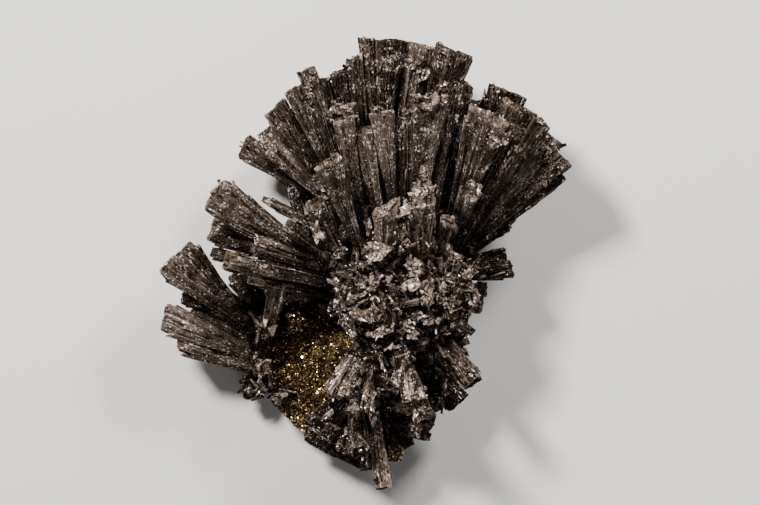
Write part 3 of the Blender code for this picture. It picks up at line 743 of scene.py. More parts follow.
def sheaf_tree():
    """Crystals set on points that carry the attributes read here. Each is flared from its foot, its end
    slanted and nodded, its skin swollen and roughened, and mapped in millimetres along and round it. Its
    tone is darkened towards the foot as painted shade, and its rim value is added as painted light and
    shade."""
    tree, given, read = new_tree(
        "crystal_sheaves",
        {"Shapes": "Collection", "Material": "Material", "Swell": "Float", "Roughness": "Float"},
        {
            "INT": ("shape",),
            "FLOAT": ("foot", "slant", "nod", "bluntness", "tone", "shift", "rim"),
            "FLOAT_VECTOR": ("place", "axis", "side", "size", "local", "unit"),
        },
    )
    placed = picked(tree, given["Shapes"], given["Geometry"], read["shape"])
    solid = add_node(tree, "GeometryNodeRealizeInstances", placed)
    local, size, unit = [
        add_node(tree, "ShaderNodeSeparateXYZ", read[key]).outputs for key in ("local", "size", "unit")
    ]

    along = add_node(tree, MATH, local[2], 0.0, operation="MAXIMUM")
    along = add_node(tree, MATH, along, FLARE_POWER, operation="POWER")
    taper = add_node(tree, "ShaderNodeMapRange", along, links={"To Min": read["foot"]})
    near_end = add_node(tree, MATH, local[2], 3.3, -2.3, operation="MULTIPLY_ADD")
    near_end = add_node(tree, MATH, near_end, 0.0, operation="MAXIMUM")
    near_end = add_node(tree, MATH, near_end, 2.0, operation="POWER")
    drawn_in = add_node(tree, MATH, near_end, read["bluntness"], operation="MULTIPLY")
    drawn_in = add_node(tree, MATH, 1.0, drawn_in, operation="SUBTRACT")
    taper = add_node(tree, MATH, taper, drawn_in, operation="MULTIPLY")
    across = add_node(tree, MATH, local[0], size[0], operation="MULTIPLY")
    across = add_node(tree, MATH, across, taper, operation="MULTIPLY")
    through = add_node(tree, MATH, local[1], size[1], operation="MULTIPLY")
    through = add_node(tree, MATH, through, taper, operation="MULTIPLY")
    tilt = add_node(tree, MATH, through, read["nod"], operation="MULTIPLY")
    tilt = add_node(tree, MATH, across, read["slant"], tilt, operation="MULTIPLY_ADD")
    tilt = add_node(tree, MATH, tilt, along, operation="MULTIPLY")
    length = add_node(tree, MATH, local[2], size[2], tilt, operation="MULTIPLY_ADD")

    up = add_node(tree, VECTOR_MATH, read["side"], read["axis"], operation="CROSS_PRODUCT")
    spot = read["place"]
    for direction, distance in ((read["axis"], length), (read["side"], across), (up, through)):
        step = add_node(tree, VECTOR_MATH, direction, links={"Scale": distance}, operation="SCALE")
        spot = add_node(tree, VECTOR_MATH, spot, step, operation="ADD")
    geometry = add_node(tree, "GeometryNodeSetPosition", links={"Geometry": solid, "Position": spot})
    where = add_node(tree, "GeometryNodeInputPosition")
    for scale, strength in ((170.0, given["Swell"]), (900.0, given["Roughness"])):
        wave = add_node(tree, "ShaderNodeTexNoise", links={"Vector": where, "Scale": scale, "Detail": 1.0})
        push = add_node(tree, VECTOR_MATH, wave.outputs["Color"], (0.5, 0.5, 0.5), operation="SUBTRACT")
        push = add_node(tree, VECTOR_MATH, push, links={"Scale": strength}, operation="SCALE")
        geometry = add_node(tree, "GeometryNodeSetPosition", links={"Geometry": geometry, "Offset": push})

    girth = add_node(tree, MATH, size[0], size[1], operation="ADD")
    girth = add_node(tree, MATH, girth, 1600.0, operation="MULTIPLY")
    turn = add_node(tree, MATH, unit[0], girth, read["shift"], operation="MULTIPLY_ADD")
    rise = add_node(tree, MATH, size[2], 1000.0, operation="MULTIPLY")
    rise = add_node(tree, MATH, unit[1], rise, read["shift"], operation="MULTIPLY_ADD")
    striae = add_node(tree, "ShaderNodeCombineXYZ", turn, rise)
    mapped = add_node(
        tree, "GeometryNodeStoreNamedAttribute",
        links={"Geometry": geometry, "Name": "striae", "Value": striae},
        data_type="FLOAT2", domain="CORNER",
    )
    # Painted shade: the tone darkens towards each crystal's foot, where the bundles crowd together. The rim
    # value then adds painted highlight along end edges and corners, and painted shade inside the ends.
    depth = add_node(tree, MATH, 1.0, local[2], operation="SUBTRACT")
    depth = add_node(tree, MATH, depth, 2.0, operation="POWER")
    tone = add_node(tree, MATH, depth, -0.8, read["tone"], operation="MULTIPLY_ADD")
    tone = add_node(tree, MATH, read["rim"], 0.7, tone, operation="MULTIPLY_ADD")
    toned = add_node(
        tree, "GeometryNodeStoreNamedAttribute",
        links={"Geometry": mapped, "Name": "tone", "Value": tone},
        data_type="FLOAT", domain="POINT",
    )
    return close_tree(tree, toned, given["Material"])


def keep_in_box(mesh):
    """Holds a piece's vertices just inside the box of the CAD and above the cut back."""
    low, high = np.array(cad_box)
    spots = np.clip(coordinates(mesh), low + 0.05 * MM, high - 0.05 * MM)
    mesh.vertices.foreach_set("co", spots.ravel().astype(np.float32))


def grow(name, points, tree, settings):
    """Runs a node tree on a cloud of points with their attributes, and keeps the result as a plain mesh."""
    cloud = bpy.data.meshes.new(f"{name}_points")
    cloud.from_pydata([tuple(p["place"]) for p in points], [], [])
    for key, sample in points[0].items():
        kind = {int: "INT", float: "FLOAT"}.get(type(sample), "FLOAT_VECTOR")
        layer = cloud.attributes.new(key, kind, "POINT")
        values = np.array([p[key] for p in points], dtype=np.int32 if kind == "INT" else np.float32)
        layer.data.foreach_set("vector" if kind == "FLOAT_VECTOR" else "value", values.ravel())
    made = make_object(name, cloud)
    modifier = made.modifiers.new("grow", "NODES")
    modifier.node_group = tree
    for item in tree.interface.items_tree:
        if item.in_out == "INPUT" and item.name in settings:
            modifier[item.identifier] = settings[item.name]
    mesh = bpy.data.meshes.new_from_object(made.evaluated_get(bpy.context.evaluated_depsgraph_get()))
    made.modifiers.clear()
    made.data = mesh
    mesh.name = name
    mesh.materials.clear()
    mesh.materials.append(settings["Material"])
    keep_in_box(mesh)
    for key in {*points[0], "local", "unit", "rim"} - {"tone", "end"}:
        layer = mesh.attributes.get(key)
        if layer:
            mesh.attributes.remove(layer)
    return made


def flat_frame(axis):
    """The side and up directions of an axis, with the side kept level."""
    side = axis.cross(Vector((0.0, 0.0, 1.0)))
    side = side.normalized() if side.length > 0.2 else Vector((1.0, 0.0, 0.0))
    return side, side.cross(axis)


def sheaf_points(rows, seed, flare, widen, bluntness, tones):
    """One sheaf for each bundle, and laths lying on its faces."""
    rng = random.Random(seed)
    points = []
    for foot, tip, foot_width, tip_width, thick, count, slant, *own_tone in rows:
        start = Vector(foot)
        end = Vector(tip)
        axis = (end - start).normalized()
        side, up = flat_frame(axis)
        length = (end - start).length
        tone = float(own_tone[0]) if own_tone else rng.uniform(*tones)
        narrow = foot_width / tip_width * flare
        points.append(
            {
                "place": start * MM, "axis": axis, "side": side,
                "size": (tip_width * widen * MM, thick * MM, length * MM), "bluntness": bluntness,
                "foot": narrow, "slant": math.tan(math.radians(slant)),
                "nod": -math.tan(math.radians(rng.uniform(-10, 7))), "shape": rng.randrange(SHEAVES),
                "tone": tone, "shift": rng.uniform(0.0, 90.0),
            }
        )
        for _ in range(2 * count + 4):
            angle = math.radians(rng.uniform(-25, 205))
            low = rng.uniform(0.05, 0.75)
            high = min(0.91, low + rng.uniform(0.2, 0.9)) - rng.uniform(0.0, 0.04)
            wander = angle + rng.uniform(-0.1, 0.1)
            ends = []
            for share, reach, turn in ((low, 0.42, angle), (high, rng.uniform(0.42, 0.46), wander)):
                flared = (narrow + (1.0 - narrow) * share**FLARE_POWER) * squared(turn) * reach
                sideways = math.cos(turn) * flared * tip_width * widen
                upwards = math.sin(turn) * flared * thick
                ends.append(start + axis * (length * share) + side * sideways + up * upwards)
            line = ends[1] - ends[0]
            outward = side * math.cos(angle) + up * math.sin(angle)
            points.append(
                {
                    "place": ends[0] * MM, "axis": line.normalized(),
                    "side": outward.cross(line).normalized(),
                    "size": (rng.uniform(0.4, 1.5) * MM, rng.uniform(0.25, 0.75) * MM, line.length * MM),
                    "bluntness": 0.0, "foot": rng.uniform(0.4, 0.8), "slant": rng.uniform(-0.6, 0.6),
                    "nod": rng.uniform(-0.4, 0.4), "shape": SHEAVES + rng.randrange(LATHS),
                    "tone": min(1.0, max(0.0, tone + rng.uniform(-0.2, 0.3))),
                    "shift": rng.uniform(0.0, 90.0),
                }
            )
    return points


shapes = shape_kit(
    "shape",
    [sheaf_mesh(k) for k in range(SHEAVES)]
    + [lath_mesh(k) for k in range(LATHS)]
    + [stub_mesh(k) for k in range(STUBS)],
)
sheaves = sheaf_tree()
# The skin's two grades of relief, in metres: worn on the long bundles, crisp on the small crystals.
SKIN = {"Shapes": shapes, "Material": enargite, "Swell": 0.0006, "Roughness": 0.00016}
CRISP = SKIN | {"Swell": 0.0003, "Roughness": 0.00003}
crystals = []


def hand_over(piece):
    """Ties a finished enargite piece to the cluster, and counts it among what the next ones can lie on."""
    tie(piece, "enargite_crystals")
    crystals.append(piece)


for group, (name, rows) in enumerate(FANS.items()):
    points = sheaf_points(rows, 700 + group, *FORMS[name])
    hand_over(grow(name, points, sheaves, SKIN))

# ---------------------------------------------------------------------------------------------------------
# Crown and skirt: short stout enargite crystals. The crown's stand on end over the middle of the cluster,
# packed close with black gaps between them; the skirt's spread low round the foot, over the massive root.
# ---------------------------------------------------------------------------------------------------------
CROWN_CENTRE = (7.5, -5.6)
CROWN_REACH = (14.5, 11.5)
CROWN_TOP = 30.5
# Each grade is how many, the widths, the lengths and the lift above the dome.
CROWN_GRADES = [
    (120, (2.4, 4.4), (4.5, 7.0), -1.2),
    (210, (1.3, 2.6), (3.0, 5.0), -0.2),
    (200, (0.6, 1.2), (1.6, 3.0), 0.3),
]
SKIRT_COUNT = 420
SKIRT_LEVELS = (1.5, 15.0)
GOLDEN_ANGLE = math.radians(137.5)


def stub_point(tip, axis, width, thick, length, rng, tone, tilt=0.5):
    """A stout crystal given by where its end is, its end face tilted up to a limit."""
    side, _ = flat_frame(axis)
    return {
        "place": (tip - axis * length) * MM, "axis": axis, "side": side,
        "size": (width * MM, thick * MM, length * MM), "bluntness": 0.0, "foot": rng.uniform(0.5, 0.8),
        "slant": rng.uniform(-tilt, tilt), "nod": rng.uniform(-tilt, tilt),
        "shape": SHEAVES + LATHS + rng.randrange(STUBS), "tone": tone, "shift": rng.uniform(0.0, 90.0),
    }


def crown_points():
    """Crystals standing on a low dome at many leans, the small ones between and on the large."""
    rng = random.Random(31)
    points = []
    for count, widths, lengths, lift in CROWN_GRADES:
        for k in range(count):
            reach = math.sqrt((k + 0.5) / count)
            turn = k * GOLDEN_ANGLE + rng.uniform(-0.2, 0.2)
            out = Vector((math.cos(turn), math.sin(turn), 0.0))
            x = CROWN_CENTRE[0] + CROWN_REACH[0] * reach * out.x
            y = CROWN_CENTRE[1] + CROWN_REACH[1] * reach * out.y
            relief = 2.2 * noise.noise(Vector((x * 0.35, y * 0.35, 3.0)))
            top = CROWN_TOP + lift + relief - 7.0 * reach**2 - 2.0 * rng.random()
            rise = 0.45 if rng.random() < 0.45 else 1.1
            axis = Vector((rng.gauss(0, 0.6), rng.gauss(0, 0.6), rise)) + out * (0.6 * reach)
            axis.normalize()
            width = rng.uniform(*widths)
            thick = width * rng.uniform(0.2, 0.6)
            tone = -0.4 + 1.4 * rng.random() ** 1.5
            length = rng.uniform(*lengths)
            point = stub_point(Vector((x, y, top)), axis, width, thick, length, rng, tone, 0.8)
            side = point["side"]
            point["side"] = side.lerp(axis.cross(side), rng.uniform(-0.8, 0.8)).normalized()
            points.append(point)
    return points


def skirt_points():
    """Crystals leaning out over the sides of the root."""
    rng = random.Random(57)
    points = []
    for k in range(SKIRT_COUNT):
        turn = k * GOLDEN_ANGLE
        level = SKIRT_LEVELS[0] + SKIRT_LEVELS[1] * rng.random()
        out = Vector((math.cos(turn), math.sin(turn), 0.0))
        centre, radii = MASSIVE[rng.randrange(len(MASSIVE))]
        slope = max(0.0, 1.0 - ((level - centre[2]) / radii[2]) ** 2) ** 0.5
        x = centre[0] + radii[0] * slope * out.x
        y = centre[1] + radii[1] * slope * out.y
        axis = out + Vector((rng.gauss(0, 0.35), rng.gauss(0, 0.35), rng.uniform(-0.1, 0.9)))
        axis.normalize()
        tip = Vector((x, y, level)) + axis * rng.uniform(0.3, 2.4 if x < 10.0 else 1.2)
        width = rng.uniform(1.0, 3.6)
        thick = width * rng.uniform(0.4, 0.9)
        points.append(stub_point(tip, axis, width, thick, 6.0, rng, rng.uniform(-0.3, 0.5)))
    return points


hand_over(grow("crown_crystals", crown_points(), sheaves, CRISP))
hand_over(grow("skirt_crystals", skirt_points(), sheaves, CRISP))

# ---------------------------------------------------------------------------------------------------------
# Loose blades: thin enargite crystals lying at all angles over the crown, the lower sprays and the left
# foot, where they grew last.
# ---------------------------------------------------------------------------------------------------------
# Each field is its middle, its half widths and how many it holds.
BLADE_FIELDS = [
    ((7.5, -5.6), (14.0, 11.0), 260),
    ((6.0, -26.0), (11.0, 9.0), 90),
    ((-19.0, -26.0), (4.0, 7.0), 30),
]
ABOVE_ALL = 60.0
DOWN = Vector((0.0, 0.0, -1.0))


def surface_of(pieces):
    """A search tree over the faces of some pieces, in millimetres."""
    corners = []
    faces = []
    for piece in pieces:
        start = len(corners)
        corners.extend(vert.co / MM for vert in piece.data.vertices)
        faces.extend([start + k for k in polygon.vertices] for polygon in piece.data.polygons)
    return BVHTree.FromPolygons(corners, faces)


def highest(ground, x, y):
    """The highest place of a surface over a spot of the plan, if there is one."""
    return ground.ray_cast(Vector((x, y, ABOVE_ALL)), DOWN)[0]


def blade_points():
    """Thin crystals dropped onto the others."""
    ground = surface_of(crystals)
    rng = random.Random(43)
    points = []
    for centre, reach, count in BLADE_FIELDS:
        for _ in range(count):
            turn = rng.uniform(0.0, math.tau)
            share = rng.random() ** 0.5
            x = centre[0] + reach[0] * share * math.cos(turn)
            y = centre[1] + reach[1] * share * math.sin(turn)
            hit = highest(ground, x, y)
            if not hit or hit.z < 2.0:
                continue
            axis = Vector((rng.gauss(0, 1), rng.gauss(0, 1), rng.uniform(-0.1, 0.9))).normalized()
            length = rng.uniform(1.8, 4.6)
            width = rng.uniform(0.4, 1.3)
            tip = hit + axis * length * rng.uniform(0.4, 0.7)
            point = stub_point(tip, axis, width, rng.uniform(0.2, 0.6), length, rng, rng.uniform(0.0, 1.0))
            point["shape"] = SHEAVES + rng.randrange(LATHS)
            points.append(point)
    return points


hand_over(grow("loose_blades", blade_points(), sheaves, CRISP))

# ---------------------------------------------------------------------------------------------------------
# Flat ends: where a bundle broke across or later crystals grew over it. Each is a close cluster of short
# enargite prisms whose rough ends lie near one plane and face upwards, so they catch the light.
# ---------------------------------------------------------------------------------------------------------
END_SPACING = (0.45, 0.85)
END_STEEPEST = 0.5
PLATE_DEPTH = 2.6
# Each is its lift above what it lies on, the tone of its crystals, and its outline.
ENDS = [
    (0.5, 0.9, [(10.5, 31.4), (11.2, 32.2), (12.4, 32.8), (13.4, 33.5), (14.1, 33.7), (14.7, 33.2),
        (14.7, 32.1), (14.1, 31.3), (13.4, 30.8), (12.6, 30.5), (11.7, 30.4), (11.2, 30.9)]),
    (0.4, 0.7, [(14.9, 31.9), (15.2, 33), (15.8, 33.6), (16.5, 33.5), (16.4, 32.6), (15.9, 31.7),
        (15.3, 31.3)]),
    (0.4, 0.9, [(14.1, 35.5), (14.7, 36), (15.7, 36.4), (16.7, 36.7), (18.1, 36.5), (17.5, 36.2),
        (16.9, 35.5), (15.9, 35.3), (15.2, 34.8), (14.9, 34.1), (14.1, 33.9), (13.6, 34.2)]),
    (0.4, 0.9, [(7.8, 29.5), (8.1, 30.4), (9.2, 31.2), (10.2, 31.3), (10.4, 30.8), (9.8, 30.3), (8.9, 30)]),
    (0.8, 0.9, [(10.4, 39.3), (11.1, 39.1), (11.8, 38.8), (13, 38.8), (12.7, 37.8), (12.1, 37.1),
        (11.3, 36.8), (10.8, 36), (10.7, 37.3)]),
    (1, 0.9, [(9.1, 39.1), (9.3, 39.6), (10.4, 40.5), (11.8, 41), (11.3, 40.4), (10.3, 39.9), (9.7, 39.1)]),
    (0.3, 0.4, [(19.1, 34.8), (19.9, 36.2), (21, 35.8), (21.5, 34.2), (21.4, 33.5), (20.5, 33)]),
    (0.6, 1.1, [(5.9, 9.5), (6.8, 10.1), (7.2, 11.3), (8.4, 12.9), (9.1, 13.4), (8.8, 14.3), (9.6, 15.4),
        (10.2, 16.4), (10.3, 17.4), (10.6, 17.8), (12.2, 18.5), (12.3, 17.8), (11.9, 16.4), (10.9, 15.8),
        (11.3, 15.2), (12.9, 15.5), (14, 15.7), (13.7, 15), (13.4, 14.3), (12.3, 13.7), (11, 13.1),
        (10.6, 12.3), (11.2, 11.9), (10.6, 11.2), (9.6, 11.3), (8.9, 10.2), (7.8, 9.8), (6.5, 9.2)]),
    (0.6, 1, [(14.8, 9.4), (15.1, 9.9), (15.8, 9.6), (16.2, 8.6), (16.6, 8.2), (17.5, 7.9), (17.6, 7.8),
        (16.8, 7.4), (16.1, 7.1), (15.4, 7.7), (15, 8.5)]),
    (0.6, 1.3, [(8.1, 4), (9.2, 4.2), (10.5, 4.4), (10.3, 4), (9.8, 3.6), (8.9, 3.5)]),
    (0.5, 0.7, [(20.3, 14.1), (20.9, 15), (21.6, 15.8), (21.7, 16.5), (22.3, 16.1), (23, 15.4),
        (22.8, 14.7), (22.1, 13.4), (21.6, 13), (21.1, 12.2), (20.7, 13)]),
    (0.5, 0.8, [(18.1, 1.8), (18.6, 2.3), (19.4, 2), (19.8, 1.2), (19.2, 0.6), (18.5, 0.8)]),
    (0.5, 1.2, [(21, 2.2), (21.1, 3.2), (21.7, 3.7), (21.8, 2.8), (21.4, 1.8)]),
    (0.4, 1, [(-10.3, 18.2), (-9.8, 18.2), (-9.2, 17.4), (-8.5, 15.8), (-7.9, 14.8), (-8.9, 14.5),
        (-9.6, 15), (-10.2, 15.7), (-10.5, 16.9)]),
    (0.4, 1, [(-10.5, 8.1), (-9.9, 9.5), (-8.8, 10.9), (-8.4, 9.8), (-9.1, 8.6), (-8.9, 7.2), (-8.4, 6.4),
        (-8.1, 5.6), (-9.4, 4.7), (-10.3, 5.6), (-10.5, 6.8)]),
    (0.6, 1.2, [(1.9, 9.1), (2.4, 9.9), (3.6, 11.2), (4.7, 12), (5.8, 13.1), (6.2, 13.1), (5.9, 12),
        (5.1, 11.3), (3.8, 10.2), (2.9, 9.5), (2.3, 8.8)]),
    (0.4, 1.2, [(0.1, 9.8), (0.9, 10.5), (1.2, 9.4), (1.3, 8.1), (1, 7), (0.8, 5.7), (0.3, 5.8), (0.2, 7.5),
        (-0.1, 8.6)]),
    (0.6, 0.8, [(-5.8, 2.9), (-5, 3.6), (-4, 3.7), (-3.3, 3), (-3.9, 2.2), (-4.7, 1.5), (-5.4, 0.5),
        (-6.3, -0.3), (-6.8, -0.1), (-6.4, 1.1), (-6.5, 1.5)]),
    (1.4, 1.4, [(0.5, 4), (1, 4.6), (2.4, 4.7), (3.8, 4.3), (4.5, 3.9), (5.8, 3.6), (5.2, 2.9), (4.4, 2.3),
        (3.8, 1.6), (3.1, 0.9), (1.9, 0.8), (1, 0.5), (0.6, 1.4), (0.7, 2.8)]),
    (1.6, 1, [(7.6, 0.1), (8.5, 0.7), (9.9, 1.1), (11.3, 0.8), (11.6, 0.3), (11.1, -0.9), (11.3, -1.4),
        (10.6, -2.3), (9.6, -2.3), (8.8, -1.8), (8.5, -0.9)]),
    (2.2, 1.3, [(6.9, -4.2), (7.9, -3.2), (8.6, -2.8), (10.3, -2.4), (11.1, -3.4), (11, -4.2), (9.7, -5.1),
        (9, -5.2), (8.5, -4.6), (7.8, -5.2)]),
    (1.8, 0.7, [(11.3, -3.2), (12.3, -2.8), (13.1, -3.7), (13.9, -4.2), (13.5, -5.2), (13.1, -6.3),
        (13.2, -7), (12.4, -8), (11.3, -7.9), (10.9, -7), (10.7, -5.6), (10.9, -4.5)]),
    (1, 0.7, [(7.2, -7.6), (8.2, -7), (9.3, -7), (10.6, -6.9), (10.3, -7.6), (9, -8.3), (7.6, -8.4),
        (7.1, -8.2)]),
    (1.4, 0.8, [(9.3, -9.6), (10.2, -8.9), (11.3, -9.4), (11.8, -9.6), (12.3, -10.7), (13.4, -10),
        (13.7, -10.3), (13, -11.9), (11.6, -11.8), (10.9, -10.8), (9.5, -10.3)]),
    (1.2, 0.6, [(-3.6, -9.6), (-2.8, -8.6), (-1.6, -8.4), (-0.4, -9), (0.6, -8.6), (1.7, -8.2), (2.9, -8.4),
        (3.8, -9.3), (4, -10.1), (3.3, -11.1), (2.3, -11), (1.6, -11.7), (0.3, -11.4), (-0.8, -11),
        (-1.8, -11), (-2.9, -11.4), (-3.6, -10.8)]),
    (1.6, 1.3, [(-0.1, -13.8), (0.6, -13.1), (1.6, -13.2), (2.3, -12.6), (3.4, -12.5), (4.8, -12.5),
        (5.4, -13.1), (4.5, -13.6), (3.4, -13.8), (2.6, -14.3), (1.5, -14.1), (0.6, -14.3)]),
    (1.4, 0.9, [(1.7, -3.4), (2.3, -2.1), (3, -1.4), (3.7, -1.1), (3.6, -2.1), (3, -3.1), (2.4, -3.9)]),
    (1.8, 1.1, [(4, -1), (4.8, 0), (5.9, 1.1), (6.8, 1.4), (6.2, 0.7), (5.7, -0.3), (4.8, -1),
        (4.1, -1.3)]),
    (0.8, 0.6, [(-3.5, -7), (-2.5, -5.9), (-0.8, -5.5), (0.6, -5.2), (-0.1, -6.1), (-1.5, -6.5),
        (-2.2, -7.7)]),
    (1, 0.9, [(7.1, -12.5), (8.3, -12.1), (9, -11.5), (9.9, -12.2), (9.5, -12.9), (10.4, -13.8),
        (10.2, -14.9), (9, -14.6), (8.3, -13.2)]),
    (0.6, 0.7, [(15.9, -7.6), (17, -7.3), (17.4, -8.2), (17, -9.3), (16, -9)]),
    (0.6, 0.8, [(21.2, -5.1), (21.9, -4.8), (23, -6), (22.2, -7.5), (21.3, -8.1), (21.9, -6.6)]),
    (0.5, 1.5, [(5.1, -22.5), (6, -21), (7.5, -21), (7.5, -22.2), (6.9, -23.4), (6, -23.4)]),
    (0.4, 1.4, [(10.6, -24.2), (11.2, -23.8), (12.1, -26), (11, -26.1)]),
    (0.6, 1.3, [(4.3, -16.4), (5.4, -15.5), (6.9, -16.7), (6.3, -17), (4.8, -16.8)]),
    (0.4, 1.2, [(29.5, 23.3), (30.6, 23.7), (31.2, 22.8), (30, 22.1)]),
    (0.4, 0.9, [(23.8, 22.8), (24.8, 24.4), (26.4, 25.8), (28.4, 26.7), (28.9, 26.2), (28.2, 24.6),
        (26.8, 23.6), (25, 22.6)]),
    (0.8, 1.2, [(33.9, 28.7), (34.4, 29.5), (35.3, 29.5), (35.8, 28.8), (35.4, 28), (34.6, 27.7)]),
]


def sides(rim):
    """The sides of an outline, each from a corner to the next."""
    return list(zip(rim, rim[1:] + rim[:1]))


def inside(x, y, rim):
    """Whether a point of the plan lies within an outline."""
    crossings = 0
    for (ax, ay), (bx, by) in sides(rim):
        if (ay > y) != (by > y) and x < ax + (bx - ax) * (y - ay) / (by - ay):
            crossings += 1
    return crossings % 2 == 1


def span(rim):
    """The least and the greatest x and y of an outline."""
    xs, ys = zip(*rim)
    return min(xs), min(ys), max(xs), max(ys)


def anywhere(rim, rng):
    """A random spot in the box of an outline."""
    low_x, low_y, high_x, high_y = span(rim)
    return rng.uniform(low_x, high_x), rng.uniform(low_y, high_y)


def scattered(rim, density, rng):
    """Random spots inside an outline, so many to a square millimetre."""
    low_x, low_y, high_x, high_y = span(rim)
    for _ in range(round(density * (high_x - low_x) * (high_y - low_y))):
        spot = anywhere(rim, rng)
        if inside(*spot, rim):
            yield spot


def loose_grid(rim, spacing, margin, rng):
    """Spots over the box of an outline, each at random within its own cell of a grid."""
    low_x, low_y, high_x, high_y = span(rim)
    for i in range(int((high_x - low_x) / spacing) + 1):
        for j in range(int((high_y - low_y) / spacing) + 1):
            x = low_x + (i + rng.uniform(margin, 1.0 - margin)) * spacing
            y = low_y + (j + rng.uniform(margin, 1.0 - margin)) * spacing
            yield x, y


def plate_layers():
    """An empty mesh with the layers that the enargite reads."""
    bm = bmesh.new()
    bm.loops.layers.uv.new("striae")
    bm.verts.layers.float.new("end")
    bm.verts.layers.float.new("tone")
    return bm


def add_plate(bm, rim, spacing, top, bottom, seed, tone, mottle=0.0):
    """Adds a plate of the rim's outline: its top and bottom follow two heights over the plan."""
    rng = random.Random(seed)
    edge = []
    for (ax, ay), (bx, by) in sides(rim):
        steps = max(1, round(math.hypot(bx - ax, by - ay) / spacing))
        edge.extend((ax + (bx - ax) * k / steps, ay + (by - ay) * k / steps) for k in range(steps))
    plan = [Vector(spot) for spot in edge]
    for x, y in loose_grid(rim, spacing, 0.1, rng):
        near = min((x - ex) ** 2 + (y - ey) ** 2 for ex, ey in edge)
        if inside(x, y, rim) and near > (spacing * 0.4) ** 2:
            plan.append(Vector((x, y)))
    count = len(edge)
    loop_edges = [(k, (k + 1) % count) for k in range(count)]
    spots, _, faces, origins, _, _ = delaunay_2d_cdt(plan, loop_edges, [], 1, 1e-4)
    place_of = {source: k for k, sources in enumerate(origins) for source in sources}
    layer = bm.loops.layers.uv["striae"]
    end_layer = bm.verts.layers.float["end"]
    tone_layer = bm.verts.layers.float["tone"]
    sheets = []
    for height, end in ((top, 1.0), (bottom, 0.0)):
        sheet = []
        for spot in spots:
            vert = bm.verts.new((spot.x * MM, spot.y * MM, height(spot.x, spot.y) * MM))
            vert[tone_layer] = tone + rng.uniform(-mottle, mottle)
            vert[end_layer] = end
            sheet.append(vert)
        sheets.append(sheet)
    made = []
    for corners in faces:
        made.append(bm.faces.new([sheets[0][k] for k in corners]))
        made.append(bm.faces.new([sheets[1][k] for k in reversed(corners)]))
    for face in made:
        for loop in face.loops:
            loop[layer].uv = (loop.vert.co.x / MM, loop.vert.co.y / MM)
    around = 0.0
    for k in range(count):
        a = place_of[k]
        b = place_of[(k + 1) % count]
        length = (spots[a] - spots[b]).length
        face = bm.faces.new((sheets[1][a], sheets[1][b], sheets[0][b], sheets[0][a]))
        for loop, u in zip(face.loops, (around, around + length, around + length, around)):
            loop[layer].uv = (u, loop.vert.co.z / MM)
        around += length
        made.append(face)
    bmesh.ops.recalc_face_normals(bm, faces=made)


def plane_under(ground, rim, lift, rng):
    """The slopes and level of a plane over what lies beneath an outline, held within the CAD's height."""
    samples = []
    while len(samples) < 40:
        x, y = anywhere(rim, rng)
        if inside(x, y, rim):
            hit = highest(ground, x, y)
            samples.append((x, y, hit.z if hit else 5.0))
    x, y, z = np.array(samples).T
    slope_x, slope_y, _ = np.linalg.lstsq(np.c_[x, y, np.ones(len(x))], z, rcond=None)[0]
    slope_x, slope_y = np.clip((slope_x, slope_y), -END_STEEPEST, END_STEEPEST)
    level = np.percentile(z - slope_x * x - slope_y * y, 80) + lift
    highest_corner = max(slope_x * corner_x + slope_y * corner_y for corner_x, corner_y in rim)
    return slope_x, slope_y, min(level, cad_box[1][2] / MM - 0.6 - highest_corner)


def grow_ends():
    """A rough plate of each outline, on a plane over the crystals beneath, with short prisms standing in
    it."""
    ground = surface_of(crystals)
    points = []
    bm = plate_layers()
    for seed, (lift, tone, rim) in enumerate(ENDS):
        rng = random.Random(900 + seed)
        slope_x, slope_y, level = plane_under(ground, rim, lift, rng)
        upright = Vector((-slope_x, -slope_y, 1.0)).normalized()
        area = abs(sum(ax * by - bx * ay for (ax, ay), (bx, by) in sides(rim))) / 2
        breadth = 4 * area / sum(math.hypot(bx - ax, by - ay) for (ax, ay), (bx, by) in sides(rim))
        spacing = min(END_SPACING[1], max(END_SPACING[0], 0.35 * breadth))

        def top(x, y):
            steps = noise.cell(Vector((x * 1.1, y * 1.1, seed)))
            rough = steps + noise.noise(Vector((x * 2.6, y * 2.6, seed)))
            return level + slope_x * x + slope_y * y + 0.5 * rough - 0.2

        def bottom(x, y):
            return top(x, y) - PLATE_DEPTH

        add_plate(bm, rim, 0.4 * spacing + 0.12, top, bottom, 40 + seed, 0.5 * tone, 0.35)
        for x, y in loose_grid(rim, spacing, 0.0, rng):
            if rng.random() < 0.5 or not inside(x, y, rim):
                continue
            z = level + slope_x * x + slope_y * y + rng.choice((-0.5, -0.15, 0.0, 0.08, 0.2)) * spacing
            axis = (upright + 0.08 * Vector((rng.gauss(0, 1), rng.gauss(0, 1), 0.0))).normalized()
            width = rng.uniform(1.3, 2.6) * spacing
            thick = width * rng.uniform(0.6, 0.95)
            shade = 0.65 * tone + rng.uniform(-0.25, 0.15)
            points.append(stub_point(Vector((x, y, z)), axis, width, thick, 3.2, rng, shade, 0.3))
    piece = make_object("end_plates", mesh_of(bm, "end_plates"), enargite)
    keep_in_box(piece.data)
    hand_over(piece)
    hand_over(grow("crystal_ends", points, sheaves, CRISP))


grow_ends()

# ---------------------------------------------------------------------------------------------------------
# Chips: broken enargite crystals of a millimetre or two, at all angles, along the wider of the edges and
# ledges where the bundles are granular.
# ---------------------------------------------------------------------------------------------------------
CHIPS_PER_MM = 2.2
LEAST_CHIPPED = 0.3
